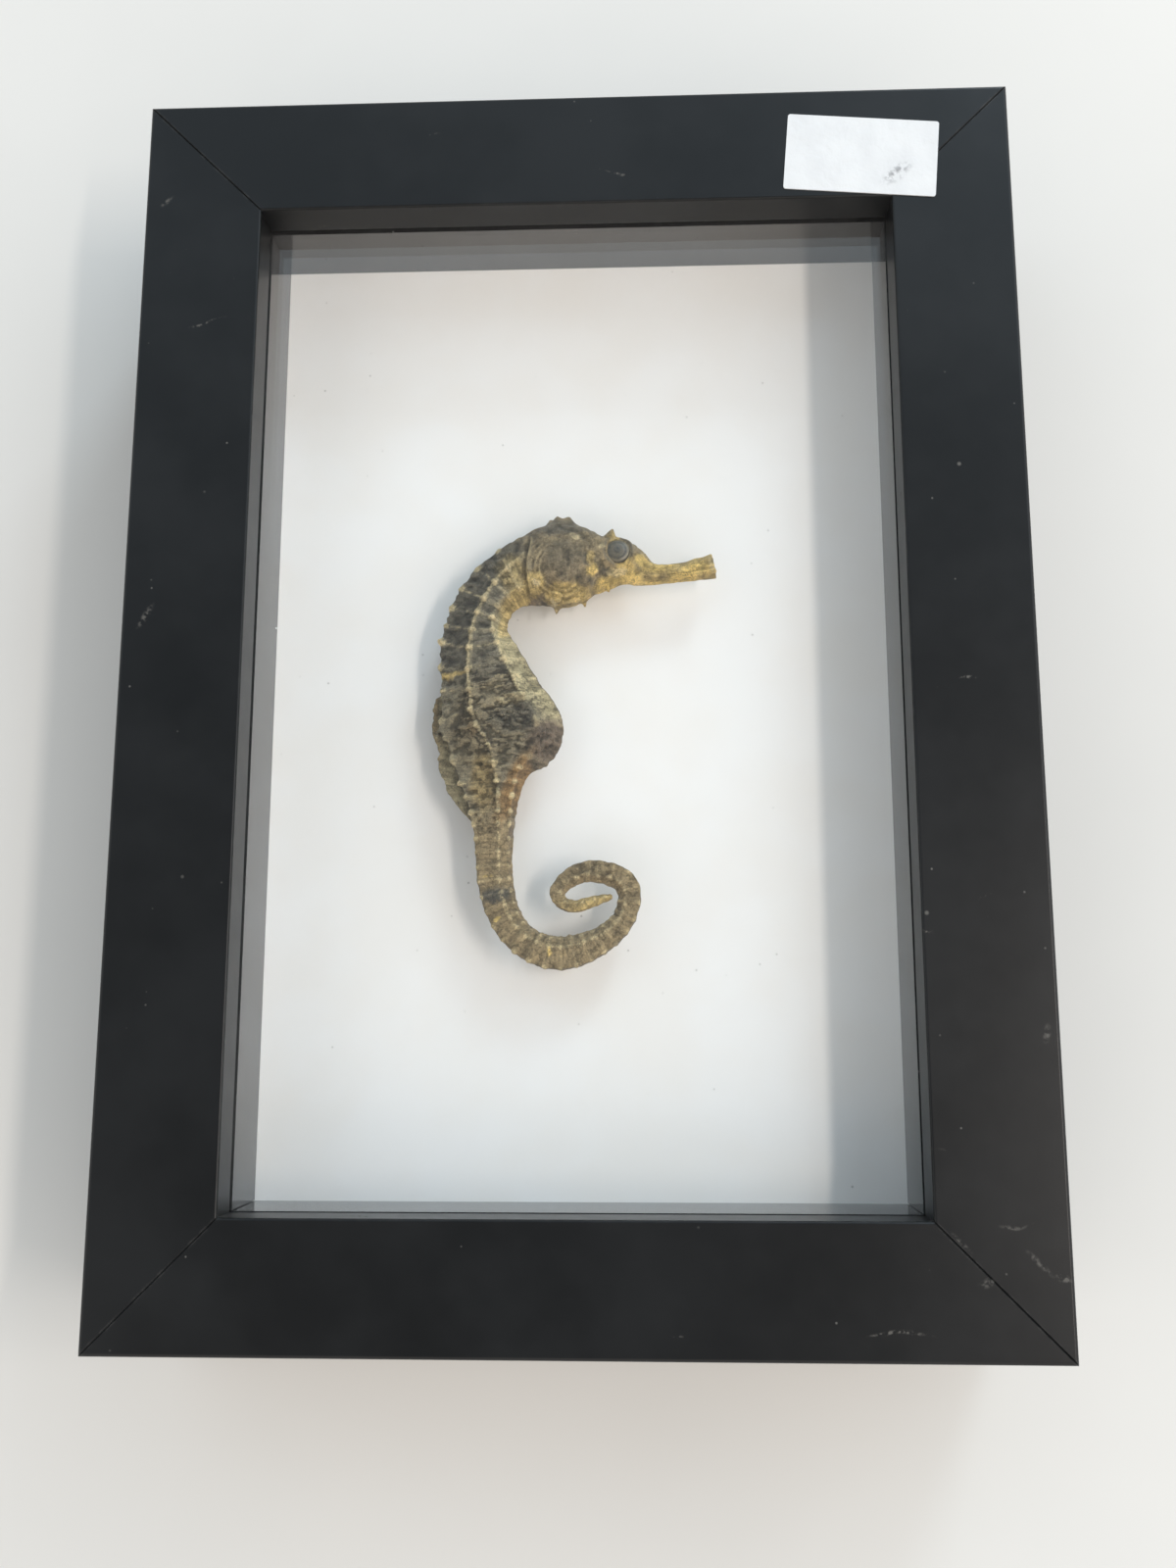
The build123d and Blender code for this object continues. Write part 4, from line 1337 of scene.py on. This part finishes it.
def glue_mesh():
    """Dabs of glue: a spread foot on the card that narrows towards the animal."""
    tall = (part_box("glue_dabs")[1].z - CARD_TOP) / MM
    profile = [(0, 0), (2.6, 0), (2.55, 0.08), (2.2, 0.22), (1.9, 0.5), (1.8, 0.9)]
    profile += [(1.75, tall), (0, tall)]
    shaper = bmesh.new()
    for x, y in GLUE_PLACES:
        place = Matrix.Translation((x * MM, y * MM, CARD_TOP))
        lathe(shaper, profile, place, 40)
    return finished_mesh(shaper, "glue_dabs_detailed")


class DISPLAYFRAME_OT_mouldings(bpy.types.Operator):
    """Finishes the four rails in satin black lacquer"""

    bl_idname = "display_frame.mouldings"
    bl_label = "Finish mouldings"

    def execute(self, context):
        settings = context.scene.display_frame.finish
        dress(RAILS, lacquer_material(settings))
        dress(("corner_v_nails",), steel_material("nail_steel", srgb(128, 126, 124), 0.34, 0.4))
        return {"FINISHED"}


class DISPLAYFRAME_OT_glazing(bpy.types.Operator):
    """Finishes the glass, the spacer strips, the card and the filler"""

    bl_idname = "display_frame.glazing"
    bl_label = "Finish glass and card"

    def execute(self, context):
        settings = context.scene.display_frame.finish
        dress(("glass_pane",), glass_material())
        dress(SPACERS, spacer_material(settings))
        dress(("display_card",), card_material(settings))
        dress(("filler_board",), board_material("filler_card", settings.filler, (1.0, 2.0, 1.0)))
        return {"FINISHED"}


class DISPLAYFRAME_OT_backing(bpy.types.Operator):
    """Finishes the back panel, hanger, rivets and turn buttons"""

    bl_idname = "display_frame.backing"
    bl_label = "Finish backing"

    def execute(self, context):
        settings = context.scene.display_frame.finish
        dress(("back_panel",), board_material("brown_board", settings.board, (1.0, 1.6, 1.0)))
        zinc = steel_material("zinc_steel", settings.steel, 0.28, 0.25)
        dress(("sawtooth_hanger", "hanger_rivets", *TURN_BUTTONS), zinc)
        return {"FINISHED"}


class DISPLAYFRAME_OT_screws(bpy.types.Operator):
    """Builds the screws of the turn buttons"""

    bl_idname = "display_frame.screws"
    bl_label = "Build screws"

    def execute(self, context):
        zinc = bpy.data.materials["zinc_steel"]
        new_piece("turn_button_screws_detailed", screw_mesh(), [zinc], "turn_button_screws")
        return {"FINISHED"}


class DISPLAYFRAME_OT_seahorse(bpy.types.Operator):
    """Sculpts and paints the dried seahorse"""

    bl_idname = "display_frame.seahorse"
    bl_label = "Build seahorse"

    def execute(self, context):
        settings = context.scene.display_frame.seahorse
        mesh = SeahorseForm(settings).sculpt()
        materials = [skin_material(settings), eye_material()]
        new_piece("seahorse_sculpted", mesh, materials, "seahorse")
        return {"FINISHED"}


class DISPLAYFRAME_OT_glue(bpy.types.Operator):
    """Builds the dabs of glue under the seahorse"""

    bl_idname = "display_frame.glue"
    bl_label = "Build glue"

    def execute(self, context):
        new_piece("glue_dabs_detailed", glue_mesh(), [glue_material()], "glue_dabs")
        return {"FINISHED"}


class DISPLAYFRAME_OT_label(bpy.types.Operator):
    """Finishes the blank price label"""

    bl_idname = "display_frame.label"
    bl_label = "Finish label"

    def execute(self, context):
        dress(("price_label",), label_material(context.scene.display_frame.finish))
        return {"FINISHED"}


def add_lamp(name, power, direction, distance, width, height, colour):
    """Soft box that shines from a direction at the middle of the card."""
    lamp = bpy.data.lights.new(name, "AREA")
    lamp.shape = "RECTANGLE"
    lamp.size, lamp.size_y = width, height
    lamp.energy = power
    lamp.color = colour
    holder = new_object(name, lamp)
    towards = Vector(direction).normalized()
    holder.location = Vector((0, 0, CARD_TOP)) + towards * distance
    holder.rotation_euler = (-towards).to_track_quat("-Z", "Y").to_euler()


class DISPLAYFRAME_OT_stage(bpy.types.Operator):
    """Sets the floor, the lamps and the camera"""

    bl_idname = "display_frame.stage"
    bl_label = "Set stage"

    def execute(self, context):
        settings = context.scene.display_frame.stage
        self.add_floor(settings)
        self.add_light(settings)
        self.add_camera(context.scene, settings)
        context.scene.view_settings.view_transform = "Standard"
        return {"FINISHED"}

    def add_floor(self, settings):
        half = FLOOR_HALF
        height = CAD_LOW.z - FLOOR_DROP
        corners = [(x, y, height) for x, y in ((-half, -half), (half, -half), (half, half), (-half, half))]
        mesh = bpy.data.meshes.new("floor")
        mesh.from_pydata(corners, [], [(0, 1, 2, 3)])
        mesh.materials.append(floor_material(settings))
        floor = new_object("floor", mesh)
        floor.visible_shadow = False

    def add_light(self, settings):
        for name, lamp in LAMPS.items():
            add_lamp(f"{name}_lamp", getattr(settings, f"{name}_power"), *lamp)
        world = bpy.data.worlds.new("soft_room")
        world.use_nodes = True
        world.node_tree.nodes.clear()
        sketch = Sketch(world.node_tree)
        direction = sketch.node("ShaderNodeTexCoord").outputs["Generated"]
        ways = sketch.node("ShaderNodeSeparateXYZ", {0: direction}).outputs
        tint = sketch.blend(sketch.span(ways["Y"], -0.5, 0.6), srgb(242, 235, 228), srgb(210, 228, 241))
        tint = sketch.blend(sketch.span(ways["Z"], 0.1, 0.5), srgb(200, 200, 198), tint)
        tint = sketch.blend(sketch.span(ways["Z"], -0.45, -0.1), srgb(110, 108, 104), tint)
        tint = sketch.blend(sketch.span(ways["Z"], 0.80, 0.95), tint, srgb(114, 118, 122))
        seen = sketch.node("ShaderNodeLightPath").outputs["Is Camera Ray"]
        tint = sketch.blend(seen, tint, srgb(192, 194, 195))
        side = sketch.span(ways["X"], -0.2, 0.7, 0.92, 1.4)
        side = sketch.math("POWER", side, sketch.math("SUBTRACT", 1.0, seen))
        strength = sketch.times(side, settings.sky_strength)
        sky = sketch.node("ShaderNodeBackground", {"Color": tint, "Strength": strength})
        sketch.node("ShaderNodeOutputWorld", {"Surface": sky.outputs[0]})
        bpy.context.scene.world = world

    def add_camera(self, scene, settings):
        camera = bpy.data.cameras.new("photo_camera")
        camera.lens = settings.lens
        camera.sensor_width = SENSOR_WIDTH
        camera.clip_start = 0.01
        holder = new_object("photo_camera", camera)
        backward = (Vector(settings.eye_point) - Vector(settings.aim_point)).normalized()
        right = Vector((0, 1, 0)).cross(backward).normalized()
        up = backward.cross(right)
        turn = Matrix((right, up, backward)).transposed().to_4x4()
        holder.matrix_world = Matrix.Translation(settings.eye_point) @ turn
        scene.camera = holder


class DISPLAYFRAME_PT_panel(bpy.types.Panel):
    """Sidebar panel with the steps of the build and their settings"""

    bl_idname = "DISPLAYFRAME_PT_panel"
    bl_label = "Specimen display frame"
    bl_space_type = "VIEW_3D"
    bl_region_type = "UI"
    bl_category = "Display Frame"

    def draw(self, context):
        settings = context.scene.display_frame
        for group in (settings.finish, settings.seahorse, settings.stage):
            column = self.layout.box().column()
            for name in group.__annotations__:
                column.prop(group, name)
        column = self.layout.column(align=True)
        for operator in OPERATORS:
            column.operator(operator.bl_idname)


OPERATORS = (
    DISPLAYFRAME_OT_mouldings,
    DISPLAYFRAME_OT_glazing,
    DISPLAYFRAME_OT_backing,
    DISPLAYFRAME_OT_screws,
    DISPLAYFRAME_OT_seahorse,
    DISPLAYFRAME_OT_glue,
    DISPLAYFRAME_OT_label,
    DISPLAYFRAME_OT_stage,
)
CLASSES = (
    FinishSettings,
    SeahorseSettings,
    StageSettings,
    DisplayFrameSettings,
    *OPERATORS,
    DISPLAYFRAME_PT_panel,
)


def register():
    for part in CLASSES:
        bpy.utils.register_class(part)
    bpy.types.Scene.display_frame = PointerProperty(type=DisplayFrameSettings)


def unregister():
    del bpy.types.Scene.display_frame
    for part in reversed(CLASSES):
        bpy.utils.unregister_class(part)


def main():
    register()
    bpy.ops.display_frame.mouldings()
    bpy.ops.display_frame.glazing()
    bpy.ops.display_frame.backing()
    bpy.ops.display_frame.screws()
    bpy.ops.display_frame.seahorse()
    bpy.ops.display_frame.glue()
    bpy.ops.display_frame.label()
    bpy.ops.display_frame.stage()


if __name__ == "__main__":
    main()
